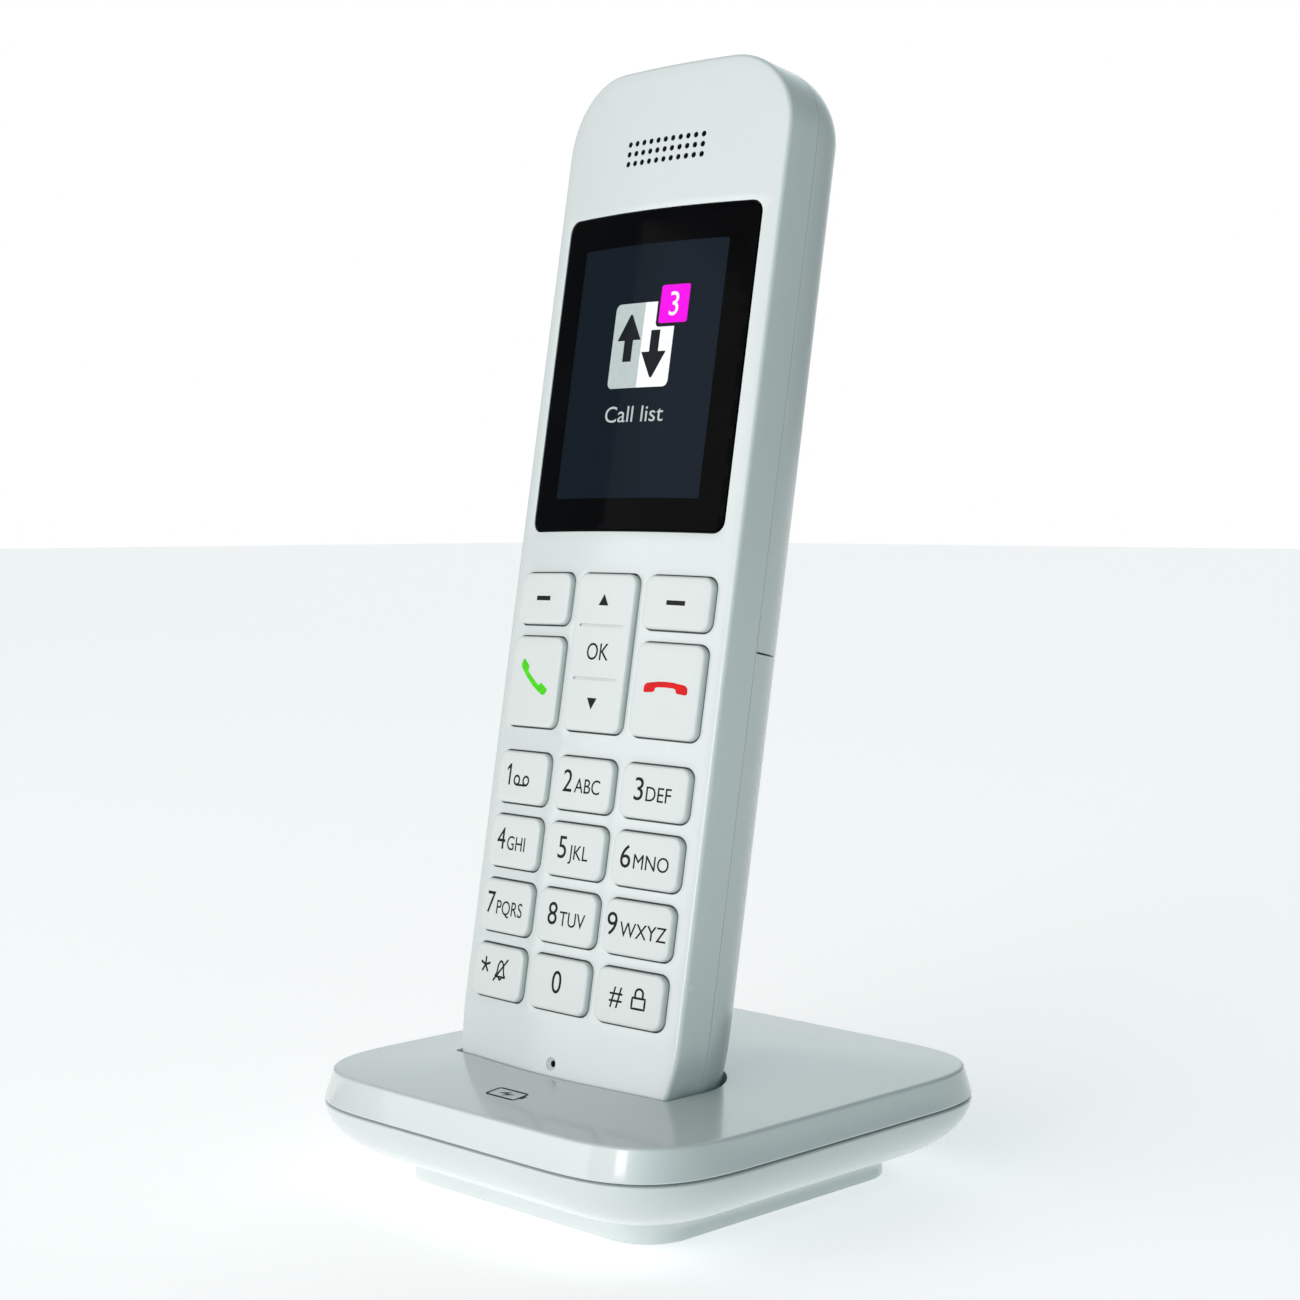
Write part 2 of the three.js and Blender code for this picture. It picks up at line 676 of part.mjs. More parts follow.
add(handset, "battery_bridge", box(
  [-wellHalf + gap, batteryDepth - batteryContactSize / 2, bridgeLow],
  [wellHalf - gap, batteryDepth + batteryContactSize / 2, bridgeLow + batteryContactThickness],
).add(bridgeSpring), nickel);

// ---- Inside the back ----------------------------------------------------

const shieldLow = coverTop + shieldBottomFromCover;
const shieldHigh = handsetLength - shieldFromTop;
add(handset, "shield_can", box(
  [-shieldWidth / 2, frameDepth, shieldLow],
  [shieldWidth / 2, frameDepth + shieldThickness, shieldHigh],
), steel);
const speakerBack = handsetDepth - backWall - gap;
add(handset, "loudspeaker", rodY(
  0, speakerCentre, speakerBack - speakerThickness, speakerBack, speakerRadius,
), darkPart);
add(handset, "antenna", box(
  [-antennaWidth / 2, frameDepth, boardTop - antennaHeight - antennaInset],
  [antennaWidth / 2, frameDepth + antennaThickness, boardTop - antennaInset],
), gold);

// ---- Handset screws and charge pads --------------------------------------

// A cross-head screw along +Z, with its head's top at zero.
function screwSolid(headRadius, headHeight, radius, length) {
  const head = rodZ(0, 0, -headHeight, 0, headRadius);
  const shank = rodZ(0, 0, -length, -headHeight / 2, radius, radius, smallSides);
  const arm = headRadius * screwDriveReach;
  const thin = screwDriveWidth / 2;
  const slot = (x, y) => box([-x, -y, -screwDriveDepth], [x, y, past]);
  return head.add(shank).subtract(slot(arm, thin)).subtract(slot(thin, arm));
}

const headTop = frameDepth + frameThickness + gap + screwHeadHeight;
const screwLength = headTop - frameDepth + screwThread - 2 * gap;
for (const [name, side] of sides) {
  const screw = screwSolid(screwHeadRadius, screwHeadHeight, screwRadius, screwLength)
    .rotate([-90, 0, 0]).translate([side * screwX, headTop, screwFromBottom]);
  add(handset, `handset_screw_${name}`, screw, steel);
  const x = (side * padSpacing) / 2;
  add(handset, `charge_pad_${name}`, box(
    [x - padWidth / 2, padFront, padRecess],
    [x + padWidth / 2, padFront + padDepth, padLength],
  ), gold);
}

// ---- Cradle -------------------------------------------------------------

// The cradle's screws stand beside the narrow end of the pocket, and the foot holds them.
const cradleScrewTop = seamHeight - cradleWall;
const handsetRise = (cradleScrewTop - dockHeight) / Math.cos(leanAngle)
  + backRounding * Math.tan(leanAngle);
const cornerShare = Math.sqrt(1 - (1 - handsetRise / bottomCornerHeight) ** 2);
const pocketHalf = half - bottomCornerWidth * (1 - cornerShare) + dockGap;
const cradleScrewX = pocketHalf + cradleScrewFromPocket + cradleScrewRadius + gap;

const seamHalf = [cradleWidth / 2, cradleDepth / 2];
const edgeHalf = [seamHalf[0] - bandSlopeX, seamHalf[1] - bandSlopeY];
const footHalf = [cradleScrewX + cradleScrewFromFoot, seamHalf[1] - footInsetY];

function cradleOutline([halfX, halfY], corner, power, inset) {
  const round = [corner - inset, corner - inset];
  return roundedOutline(
    halfX - inset, inset - halfY, halfY - inset, round, round, power, cradleCornerSteps,
  );
}

const edgeCorner = cradleCorner - bandSlopeY;
const seamOutline = (inset) => cradleOutline(seamHalf, cradleCorner, cradleCornerPower, inset);
const edgeOutline = (inset) => cradleOutline(edgeHalf, edgeCorner, cradleCornerPower, inset);
const footOutline = (inset) => cradleOutline(footHalf, footCorner, 2, Math.min(inset, footCorner - nick));
const ringAt = (outline, z) => outline.map(([x, y]) => new THREE.Vector3(x, y, z));

// The crowned top, pulled in by inset and lowered by drop, down to a lower height.
function crownSolid(inset, drop, low, base = edgeOutline) {
  const rings = [ringAt(base(inset), low)];
  if (base === seamOutline) rings.push(ringAt(edgeOutline(inset), edgeHeight - edgeRounding - drop));
  rings.push(ringAt(edgeOutline(inset + edgeRounding), edgeHeight - drop));
  for (const scale of [0.75, 0.5, 0.25]) {
    const z = edgeHeight + crownHeight * (1 - scale ** 2) - drop;
    const outline = edgeOutline(inset + edgeRounding).map(([x, y]) => [x * scale, y * scale]);
    rings.push(ringAt(outline, z));
  }
  return stackSolid(rings);
}

// The underside runs in from the seam to the foot: a round lip, then a flick down to the foot.
const lipCurve = new THREE.CubicBezierCurve(
  new THREE.Vector2(0, seamHeight),
  new THREE.Vector2(0.02, 0.72 * seamHeight),
  new THREE.Vector2(0.3, 0.455 * seamHeight),
  new THREE.Vector2(0.72, 0.343 * seamHeight),
);
const flickCurve = new THREE.CubicBezierCurve(
  new THREE.Vector2(0.72, 0.343 * seamHeight),
  new THREE.Vector2(0.9, 0.289 * seamHeight),
  new THREE.Vector2(1, 0.247 * seamHeight),
  new THREE.Vector2(1, footTop),
);

// The bowl below the seam, pulled in by inset and lifted, with its floor at a given height.
function bowlSolid(inset, lift, floor) {
  const [wide, narrow] = [seamOutline(inset), footOutline(inset)];
  const outlineAt = (share) => wide.map(([x, y], i) => (
    [x + (narrow[i][0] - x) * share, y + (narrow[i][1] - y) * share]
  ));
  const path = [...lipCurve.getPoints(lipSteps), ...flickCurve.getPoints(flickSteps).slice(1)];
  const kept = path.filter((point) => point.y + lift > floor + 2 * nick);
  const rings = kept.map((point) => ringAt(outlineAt(point.x), point.y + lift));
  rings.push(ringAt(outlineAt(kept[kept.length - 1].x), floor));
  return stackSolid(rings);
}

const fourPlaces = (halfX, halfY) => [["front", -1], ["back", 1]].flatMap(([nameY, sideY]) => (
  sides.map(([nameX, sideX]) => ({ name: `${nameY}_${nameX}`, x: sideX * halfX, y: sideY * halfY }))
));
const cradleScrews = fourPlaces(cradleScrewX, cradleScrewSpan / 2);
const rubberFeet = fourPlaces(footHalf[0] - rubberFootInset, footHalf[1] - rubberFootInset);
const cradleBoss = cradleScrewRadius + gap + bossWall;
const seatTop = seamHeight + seamGap;
const bayBack = footHalf[1] + bayFromFoot;

// The top: a crowned skin with a lip inside the bowl, screw bosses and the handset's pocket.
// The pocket follows the handset's lower end all round.
const across = (outline, ...heights) => stackSolid(heights.map((z) => ringAt(outline, z)));
const underSkin = crownSolid(cradleWall / 2, cradleWall / 2, 0);
const lipHollow = across(seamOutline(lipInset + lipWall), far, -far);
const lip = across(seamOutline(lipInset), seatTop + cradleWall, seamHeight - lipDepth);
const shelf = across(seamOutline(cradleWall / 2), seatTop + cradleWall, seatTop);

let cradleTop = crownSolid(0, 0, seatTop, seamOutline).subtract(crownSolid(cradleWall, cradleWall, 0));
cradleTop = cradleTop.add(lip.add(shelf).subtract(lipHollow));
cradleTop = cradleTop.subtract(box(
  [-bayWidth / 2 - bayWall - gap, bayBack - bayWall, -far],
  [bayWidth / 2 + bayWall + gap, far, bayTop + bayWall + gap],
));
cradleTop = cradleTop.add(docked(envelope(dockGap + pocketWall)).intersect(underSkin));
for (const { x, y } of cradleScrews) {
  cradleTop = cradleTop.add(rodZ(x, y, floorTop + gap, far, cradleBoss).intersect(underSkin));
}
cradleTop = cradleTop.subtract(docked(envelope(dockGap)));
for (const { x, y } of cradleScrews) {
  cradleTop = cradleTop.subtract(rodZ(x, y, -far, cradleScrewTop + gap, cradleScrewRadius + gap));
}
const padMiddle = padFront + padDepth / 2;
for (const [, side] of sides) {
  const low = -2 * (dockGap + pocketWall);
  const hole = rodZ((side * padSpacing) / 2, padMiddle, low, 0, pinRadius + pinGap);
  cradleTop = cradleTop.subtract(docked(hole));
}
add(phone, "cradle_top", cradleTop, whiteShell);

// The bowl: floor, foot, screw holes, seats for the rubber feet and the bay of the power inlet.
const boardLow = floorTop + gap;
const inletLow = boardLow + cradleBoardThickness + gap;
const inletCentre = inletLow + inletHeight / 2;
let cradleBottom = bowlSolid(0, 0, footHeight).subtract(bowlSolid(cradleWall, bowlLift, floorTop));
cradleBottom = cradleBottom.add(bowlSolid(0, 0, footHeight).intersect(box(
  [-bayWidth / 2 - bayWall, bayBack - bayWall, footHeight],
  [bayWidth / 2 + bayWall, far, bayTop + bayWall],
)));
cradleBottom = cradleBottom.subtract(box([-bayWidth / 2, bayBack, -far], [bayWidth / 2, far, bayTop]));
cradleBottom = cradleBottom.subtract(rodY(
  0, inletCentre, bayBack - 2 * bayWall, bayBack + past, inletMouth,
));
const headSeat = footHeight + cradleScrewHeadHeight + gap;
for (const { x, y } of cradleScrews) {
  cradleBottom = cradleBottom.subtract(rodZ(x, y, -far, headSeat, cradleScrewHead + gap));
  cradleBottom = cradleBottom.subtract(rodZ(x, y, 0, floorTop + past, cradleScrewRadius + gap));
}
for (const { x, y } of rubberFeet) {
  cradleBottom = cradleBottom.subtract(rodZ(x, y, -far, rubberFootHeight + gap, rubberFootRadius + gap));
}
add(phone, "cradle_bottom", cradleBottom, whiteShell);

for (const { name, x, y } of rubberFeet) {
  const foot = rodZ(x, y, 0, rubberFootHeight, rubberFootRadius - gap, rubberFootRadius);
  add(phone, `rubber_foot_${name}`, foot, rubber);
}
for (const { name, x, y } of cradleScrews) {
  const length = cradleScrewTop - footHeight;
  const screw = screwSolid(cradleScrewHead, cradleScrewHeadHeight, cradleScrewRadius, length);
  add(phone, `cradle_screw_${name}`, screw.rotate([180, 0, 0]).translate([x, y, footHeight]), steel);
}

// Inside the cradle: a steel weight under the pocket, and the board with the power inlet.
const innerHalf = cradleScrewX - cradleBoss - gap;
const innerReach = footHalf[1] - cradleWall - weightMargin;
add(phone, "cradle_weight", box(
  [-innerHalf, -innerReach, boardLow],
  [innerHalf, cradleBoardFront - gap, boardLow + weightThickness],
), steel);
add(phone, "cradle_board", box(
  [-innerHalf, cradleBoardFront, boardLow],
  [innerHalf, innerReach, boardLow + cradleBoardThickness],
), boardGreen);
const inletFront = bayBack - bayWall - gap;
const inletBody = box(
  [-inletWidth / 2, inletFront - inletLength, inletLow],
  [inletWidth / 2, inletFront, inletLow + inletHeight],
);
const boreEnd = inletFront - inletBoreDepth;
const inletHollow = rodY(0, inletCentre, boreEnd, inletFront + past, inletBore);
const inletContact = rodY(
  0, inletCentre, boreEnd - past, inletFront - inletPinInset, inletPin, inletPin, smallSides,
);
add(phone, "power_inlet", inletBody.subtract(inletHollow).add(inletContact), darkPart);

for (const [name, side] of sides) {
  const x = (side * padSpacing) / 2;
  const top = padRecess - pinGap;
  const shaft = rodZ(x, padMiddle, top - pinLength, top - pinRadius / 2, pinRadius);
  const tip = rodZ(x, padMiddle, top - pinRadius / 2 - nick, top, pinRadius, pinRadius / 2);
  add(handset, `charge_pin_${name}`, shaft.add(tip), gold);
}

export default phone;
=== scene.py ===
import json
import math

import bmesh
import bpy
import numpy as np
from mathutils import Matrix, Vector
from mathutils.geometry import delaunay_2d_cdt


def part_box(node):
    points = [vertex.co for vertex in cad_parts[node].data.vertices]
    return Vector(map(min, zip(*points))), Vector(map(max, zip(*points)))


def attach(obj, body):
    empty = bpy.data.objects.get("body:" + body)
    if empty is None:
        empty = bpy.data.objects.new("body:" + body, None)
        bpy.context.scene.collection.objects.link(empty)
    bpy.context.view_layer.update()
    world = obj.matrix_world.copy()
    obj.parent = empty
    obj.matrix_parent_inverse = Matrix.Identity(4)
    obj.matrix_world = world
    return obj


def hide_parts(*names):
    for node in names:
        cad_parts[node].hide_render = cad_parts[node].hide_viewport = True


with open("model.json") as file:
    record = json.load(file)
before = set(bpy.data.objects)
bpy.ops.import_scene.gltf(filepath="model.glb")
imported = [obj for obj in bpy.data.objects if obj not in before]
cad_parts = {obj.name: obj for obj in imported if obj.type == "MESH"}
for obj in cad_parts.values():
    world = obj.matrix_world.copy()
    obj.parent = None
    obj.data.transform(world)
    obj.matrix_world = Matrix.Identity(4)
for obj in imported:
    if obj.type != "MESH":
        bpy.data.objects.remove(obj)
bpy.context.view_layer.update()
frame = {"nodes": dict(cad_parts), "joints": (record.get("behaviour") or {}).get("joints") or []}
print("frame loaded")

# The handset leans back in its cradle. Its shapes are worked out upright, in millimetres:
# x across the face, y from the face to the back, z from the lower end to the top.

liftJoint = next(joint for joint in frame["joints"] if joint["name"] == "handset_lift")
upWay = np.array(liftJoint["axis"], float)
upWay /= np.linalg.norm(upWay)
backWay = np.array([0.0, upWay[2], -upWay[1]])


def nodePoints(name):
    # a CAD node's points in metres
    mesh = frame["nodes"][name].data
    points = np.zeros(len(mesh.vertices) * 3)
    mesh.vertices.foreach_get("co", points)
    return points.reshape(-1, 3)


shellPoints = nodePoints("front_shell")
dockOrigin = upWay * (shellPoints @ upWay).min() + backWay * (shellPoints @ backWay).min()


def leaned(points):
    # upright handset millimetres to metres in the shared frame
    points = np.asarray(points, float) * 0.001
    return dockOrigin + points[:, :1] * [1, 0, 0] + points[:, 1:2] * backWay + points[:, 2:] * upWay


def standing(points):
    # cradle millimetres to metres
    return np.asarray(points, float) * 0.001


def uprightBox(name):
    # a node's box in the upright handset's millimetres
    points = nodePoints(name) - dockOrigin
    local = np.stack([points[:, 0], points @ backWay, points @ upWay], 1) * 1000
    return local.min(0), local.max(0)


def cradleBox(name):
    # a node's box in the cradle's millimetres
    return [np.array(corner) * 1000 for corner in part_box(name)]


def middleOf(box):
    return (box[0] + box[1]) / 2


def settled(piece, body, cadNode=None):
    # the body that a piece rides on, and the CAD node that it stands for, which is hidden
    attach(piece, body)
    if cadNode:
        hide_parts(cadNode)
    return piece


def roundedOutline(halfWidth, low, high, lowCorner, highCorner, power=2, steps=12, cuts=1, sideCuts=1):
    # Four superellipse quarters joined by straight edges, anticlockwise from the upper right
    # corner: a = ra cos(t)^(2/power), b = rb sin(t)^(2/power).
    turn = np.linspace(0, math.pi / 2, steps + 1)
    across = np.clip(np.cos(turn), 0, 1) ** (2 / power)
    along = np.clip(np.sin(turn), 0, 1) ** (2 / power)
    upper = np.stack([halfWidth - highCorner[0] * (1 - across), high - highCorner[1] * (1 - along)], 1)
    lower = np.stack([halfWidth - lowCorner[0] * (1 - across), low + lowCorner[1] * (1 - along)], 1)[::-1]
    upperLeft = (upper * [-1, 1])[::-1]
    lowerLeft = (lower * [-1, 1])[::-1]

    def between(start, end, count):
        share = np.linspace(0, 1, count + 1)[1:-1, None]
        return start + (end - start) * share

    return np.concatenate([
        upper, between(upper[-1], upperLeft[0], cuts), upperLeft,
        between(upperLeft[-1], lowerLeft[0], sideCuts), lowerLeft,
        between(lowerLeft[-1], lower[0], cuts), lower,
        between(lower[-1], upper[0], sideCuts),
    ])


def circleOutline(centre, radius, sides=24):
    # points at even turns: centre + radius * (cos, sin)
    turn = np.linspace(0, 2 * math.pi, sides, endpoint=False)
    return np.stack([centre[0] + radius * np.cos(turn), centre[1] + radius * np.sin(turn)], 1)


def loft(rings, closeFirst=False, closeLast=False, loop=False):
    # Quads between rings of equal length. A closed end gets a fan round its middle point.
    rings = np.asarray(rings, float)
    levels, count = rings.shape[:2]
    points = rings.reshape(-1, 3)
    level = np.arange(levels if loop else levels - 1)[:, None]
    i = np.arange(count)[None, :]
    j = (i + 1) % count
    lower, upper = level * count, ((level + 1) % levels) * count
    faces = np.stack([lower + i, lower + j, upper + j, upper + i], -1).reshape(-1, 4).tolist()
    extra = []
    for wanted, start in ((closeFirst, 0), (closeLast, (levels - 1) * count)):
        if wanted:
            hub = len(points) + len(extra)
            extra.append(points[start:start + count].mean(0))
            faces += [[start + k, start + (k + 1) % count, hub] for k in range(count)]
    if extra:
        points = np.concatenate([points, extra])
    return points, faces


def sheetWithHoles(boundary, holes, depthAt, spacing):
    # The flat outline minus its holes, cut into triangles on a grid of points, then each
    # point is given its depth: y = depthAt(x, z).
    loops = [boundary, *holes]
    points = np.concatenate(loops)
    edges, start = [], 0
    for one in loops:
        k = np.arange(len(one))
        edges += np.stack([start + k, start + (k + 1) % len(one)], 1).tolist()
        start += len(one)
    low, high = boundary.min(0), boundary.max(0)
    gridX, gridZ = np.meshgrid(np.arange(low[0], high[0], spacing), np.arange(low[1], high[1], spacing))
    grid = np.stack([gridX.ravel(), gridZ.ravel()], 1) + spacing / 2
    keep = insideOf(boundary, grid)
    for hole in holes:
        keep &= ~insideOf(hole, grid)
    clear = 0.45 * spacing  # grid points stay this far from every outline
    distance = np.full(len(grid), np.inf)
    for part in np.array_split(points, max(1, len(points) // 200)):
        distance = np.minimum(distance, np.linalg.norm(grid[:, None] - part[None], axis=2).min(1))
    grid = grid[keep & (distance > clear)]
    flat = np.concatenate([points, grid])
    made = delaunay_2d_cdt([Vector(p) for p in flat], edges, [], 0, 1e-7)
    flat = np.array([tuple(p) for p in made[0]])
    faces = np.array(made[2])
    middle = flat[faces].mean(1)
    keep = insideOf(boundary, middle)
    for hole in holes:
        keep &= ~insideOf(hole, middle)
    depth = depthAt(flat[:, 0], flat[:, 1])
    return np.stack([flat[:, 0], depth, flat[:, 1]], 1), faces[keep].tolist()


def insideOf(outline, points):
    # even-odd rule, on whole arrays
    x, z = points[:, 0][:, None], points[:, 1][:, None]
    x0, z0 = outline[:, 0][None], outline[:, 1][None]
    x1, z1 = np.roll(outline[:, 0], -1)[None], np.roll(outline[:, 1], -1)[None]
    crosses = (z0 > z) != (z1 > z)
    rise = np.where(z1 == z0, 1, z1 - z0)
    return ((crosses & (x < (x1 - x0) * (z - z0) / rise + x0)).sum(1) % 2) == 1


def ringAt(outline, depth):
    # an outline in x and z, at one depth or with a depth for each of its points
    return np.stack([outline[:, 0], np.broadcast_to(depth, len(outline)), outline[:, 1]], 1)


def joined(*parts):
    # parts may mark their faces with a number, which picks one of the piece's materials
    points, faces, marks, start = [], [], [], 0
    for part in parts:
        points.append(part[0])
        faces += [[start + k for k in face] for face in part[1]]
        marks += list(part[2]) if len(part) > 2 else [0] * len(part[1])
        start += len(part[0])
    return np.concatenate(points), faces, marks


def marked(shape, mark):
    # gives every face of a shape the same mark
    return shape[0], shape[1], [mark] * len(shape[1])


meshTidy = {"merge": 1e-6, "hair": 0.000015, "sharpAngle": 30}  # metres, metres and degrees


def pieceOf(name, shape, place, material, second=None):
    # One object at the origin, its place in its mesh, doubles merged and faces outward.
    mesh = bpy.data.meshes.new(name)
    mesh.from_pydata(place(shape[0]).tolist(), [], shape[1])
    if second:
        mesh.polygons.foreach_set("material_index", np.array(shape[2], np.int32))
    work = bmesh.new()
    work.from_mesh(mesh)
    bmesh.ops.remove_doubles(work, verts=work.verts, dist=meshTidy["merge"])
    bmesh.ops.recalc_face_normals(work, faces=work.faces)
    work.to_mesh(mesh)
    work.free()
    piece = bpy.data.objects.new(name, mesh)
    bpy.context.scene.collection.objects.link(piece)
    for one in filter(None, (material, second)):
        mesh.materials.append(one)
    smoothed(piece)
    return piece


def smoothed(piece, angle=meshTidy["sharpAngle"]):
    # a cut leaves hair-thin triangles, whose normals would spoil the shading round them
    work = bmesh.new()
    work.from_mesh(piece.data)
    bmesh.ops.dissolve_degenerate(work, dist=meshTidy["hair"], edges=work.edges)
    bmesh.ops.triangulate(work, faces=[face for face in work.faces if len(face.verts) > 4])
    work.to_mesh(piece.data)
    work.free()
    piece.data.shade_smooth()
    piece.data.set_sharp_from_angle(angle=math.radians(angle))


def carved(piece, cutter, operation="DIFFERENCE"):
    # joins or cuts a piece with a cutter, which is then thrown away
    cut = piece.modifiers.new("cut", "BOOLEAN")
    cut.operation = operation
    cut.object = cutter
    cut.solver = "MANIFOLD"
    graph = bpy.context.evaluated_depsgraph_get()
    mesh = bpy.data.meshes.new_from_object(piece.evaluated_get(graph))
    piece.modifiers.clear()
    old = piece.data
    mesh.name = old.name + "Cut"
    piece.data = mesh
    bpy.data.meshes.remove(old)
    bpy.data.objects.remove(cutter)


def tool(shape, place):
    return pieceOf("tool", shape, place, None)


def boxShape(low, high):
    # a four-cornered ring at the lowest and at the highest z, closed at both ends
    x0, y0, z0 = low
    x1, y1, z1 = high
    ring = [[x0, y0], [x1, y0], [x1, y1], [x0, y1]]
    return loft([[[x, y, z] for x, y in ring] for z in (z0, z1)], True, True)


def slabShape(outline, low, high):
    # an outline in x and z, carried straight along y
    return loft([ringAt(outline, depth) for depth in (low, high)], True, True)


def turnedShape(profile, centre, axis="z", sides=32):
    # A profile of radius and height carried round an axis. Ends at radius 0 close on it.
    turn = np.linspace(0, 2 * math.pi, sides, endpoint=False)
    rings = []
    for radius, height in profile:
        a, b = max(radius, 1e-4) * np.cos(turn), max(radius, 1e-4) * np.sin(turn)
        h = np.full(sides, float(height))
        rings.append(np.stack([a, b, h] if axis == "z" else [a, h, b], 1) + centre)
    return loft(rings, True, True)


def roundEdge(radius, steps=4):
    # a quarter round as (inset, drop) pairs, from the flat face to the side
    turn = np.linspace(0, math.pi / 2, steps + 1)
    return list(zip(radius * (1 - np.sin(turn)), radius * (1 - np.cos(turn))))


def link(source, target):
    source.id_data.links.new(source, target)


def node(tree, kind, settings=None, inputs=None):
    made = tree.nodes.new(kind)
    for key, value in (settings or {}).items():
        setattr(made, key, value)
    for key, value in (inputs or {}).items():
        made.inputs[key].default_value = value
    return made


def materialNamed(name, settings):
    material = bpy.data.materials.new(name)
    material.use_nodes = True
    shader = material.node_tree.nodes["Principled BSDF"]
    for socket, value in settings.items():
        shader.inputs[socket].default_value = value
    return material, material.node_tree, shader


def placeOn(tree, mapping=None):
    # object coordinates, stretched or turned by a Mapping node where one is wanted
    place = tree.nodes.new("ShaderNodeTexCoord").outputs["Object"]
    if not mapping:
        return place
    moved = node(tree, "ShaderNodeMapping", inputs=mapping)
    link(place, moved.inputs["Vector"])
    return moved.outputs["Vector"]


def textureOf(tree, kind, inputs, output="Fac", settings=None, mapping=None):
    texture = node(tree, kind, settings, inputs)
    link(placeOn(tree, mapping), texture.inputs["Vector"])
    return texture.outputs[output]


def noiseOf(tree, scale, detail, stretch=None):
    mapping = {"Scale": stretch} if stretch else None
    return textureOf(tree, "ShaderNodeTexNoise", {"Scale": scale, "Detail": detail}, mapping=mapping)


def rampOf(source, stops):
    ramp = node(source.id_data, "ShaderNodeValToRGB")
    link(source, ramp.inputs["Fac"])
    ramp.color_ramp.elements[0].position, ramp.color_ramp.elements[0].color = stops[0]
    ramp.color_ramp.elements[1].position, ramp.color_ramp.elements[1].color = stops[-1]
    for position, color in stops[1:-1]:
        ramp.color_ramp.elements.new(position).color = color
    return ramp.outputs["Color"]


def rangeOf(source, low, high):
    mapped = node(source.id_data, "ShaderNodeMapRange", inputs={"To Min": low, "To Max": high})
    link(source, mapped.inputs["Value"])
    return mapped.outputs["Result"]


def bumpInto(shader, height, strength, depth):
    bump = node(height.id_data, "ShaderNodeBump", inputs={"Strength": strength, "Distance": depth})
    link(height, bump.inputs["Height"])
    link(bump.outputs["Normal"], shader.inputs["Normal"])


def finished(shader, color, gloss, bump):
    # color: texture and stops. gloss: texture, lowest and highest roughness. bump: texture,
    # strength and depth in metres.
    link(rampOf(*color), shader.inputs["Base Color"])
    link(rangeOf(*gloss), shader.inputs["Roughness"])
    bumpInto(shader, *bump)


plasticLooks = {
    "cloudScale": 35, "glossScale": 160,
    "glossyWhiteShell": {
        "light": (0.60, 0.65, 0.645, 1), "dark": (0.585, 0.635, 0.63, 1), "roughness": (0.2, 0.3),
        "grain": (2600, 0.06, 0.00003), "coat": (0.4, 0.12),
    },
    "polishedCradleShell": {
        "light": (0.60, 0.65, 0.645, 1), "dark": (0.585, 0.635, 0.63, 1), "roughness": (0.16, 0.22),
        "grain": (2600, 0.04, 0.00003), "coat": (0.5, 0.06),
    },
    "satinWhiteKey": {
        "light": (0.63, 0.665, 0.655, 1), "dark": (0.615, 0.65, 0.64, 1), "roughness": (0.34, 0.46),
        "grain": (3400, 0.1, 0.00003),
    },
    # black plastic of the dark parts, and also the painted shade inside holes and key gaps
    "blackPlasticAndShade": {
        "light": (0.03, 0.032, 0.035, 1), "dark": (0.018, 0.019, 0.021, 1), "roughness": (0.4, 0.6),
        "grain": (2200, 0.25, 0.00005),
    },
    "domeFilm": {
        "light": (0.62, 0.63, 0.64, 1), "dark": (0.52, 0.53, 0.54, 1), "roughness": (0.25, 0.4),
        "grain": (900, 0.3, 0.0001),
    },
}


def mouldedPlastic(name):
    # Moulded plastic: a faint cloudiness in the colour, fine mould grain in the surface and
    # an uneven gloss where it has been handled.
    looks = plasticLooks[name]
    settings = {"Specular IOR Level": 0.5, "IOR": 1.49}
    settings.update(zip(("Coat Weight", "Coat Roughness"), looks.get("coat", ())))
    material, tree, shader = materialNamed(name, settings)
    scale, strength, depth = looks["grain"]
    finished(
        shader, (noiseOf(tree, plasticLooks["cloudScale"], 4), [(0.3, looks["dark"]), (0.7, looks["light"])]),
        (noiseOf(tree, plasticLooks["glossScale"], 5), *looks["roughness"]),
        (noiseOf(tree, scale, 2), strength, depth),
    )
    return material


def glassMaterial():
    # the display's window: black gloss, faintly smudged
    material, tree, shader = materialNamed("displayGlass", {"Specular IOR Level": 0.02})
    smudge = noiseOf(tree, 60, 5)
    stops = [(0.3, (0.0005, 0.0006, 0.001, 1)), (0.7, (0.0012, 0.0014, 0.002, 1))]
    finished(shader, (smudge, stops), (smudge, 0.04, 0.11), (noiseOf(tree, 400, 3), 0.02, 0.00002))
    return material


inkLooks = {  # how much the ink thins out in patches, its roughness and its shine
    "printed": {"thinning": 0.8, "roughness": (0.35, 0.5), "shine": 0.15},
    "lit": {"thinning": 0.94, "roughness": (0.06, 0.12), "shine": 0.02},
}


def inkMaterial(name, kind, color):
    # printed ink: slightly uneven cover and a dry surface
    looks = inkLooks[kind]
    material, tree, shader = materialNamed(name, {"Specular IOR Level": looks["shine"]})
    patch = noiseOf(tree, 900, 3)
    thin = tuple(looks["thinning"] * c for c in color)
    finished(
        shader, (patch, [(0.35, (*thin, 1)), (0.65, (*color, 1))]), (patch, *looks["roughness"]),
        (patch, 0.15, 0.00001),
    )
    return material


metalLooks = {  # light and dark colour, lowest and highest roughness, stretch of the fine lines
    "nickelPlate": ((0.80, 0.81, 0.80, 1), (0.66, 0.67, 0.67, 1), (0.12, 0.26), (1, 1, 0.15)),
    "drawnSteel": ((0.62, 0.63, 0.65, 1), (0.45, 0.46, 0.48, 1), (0.25, 0.42), (0.1, 1, 1)),
    "goldPlate": ((0.88, 0.68, 0.32, 1), (0.78, 0.58, 0.24, 1), (0.14, 0.28), (1, 0.2, 1)),
}


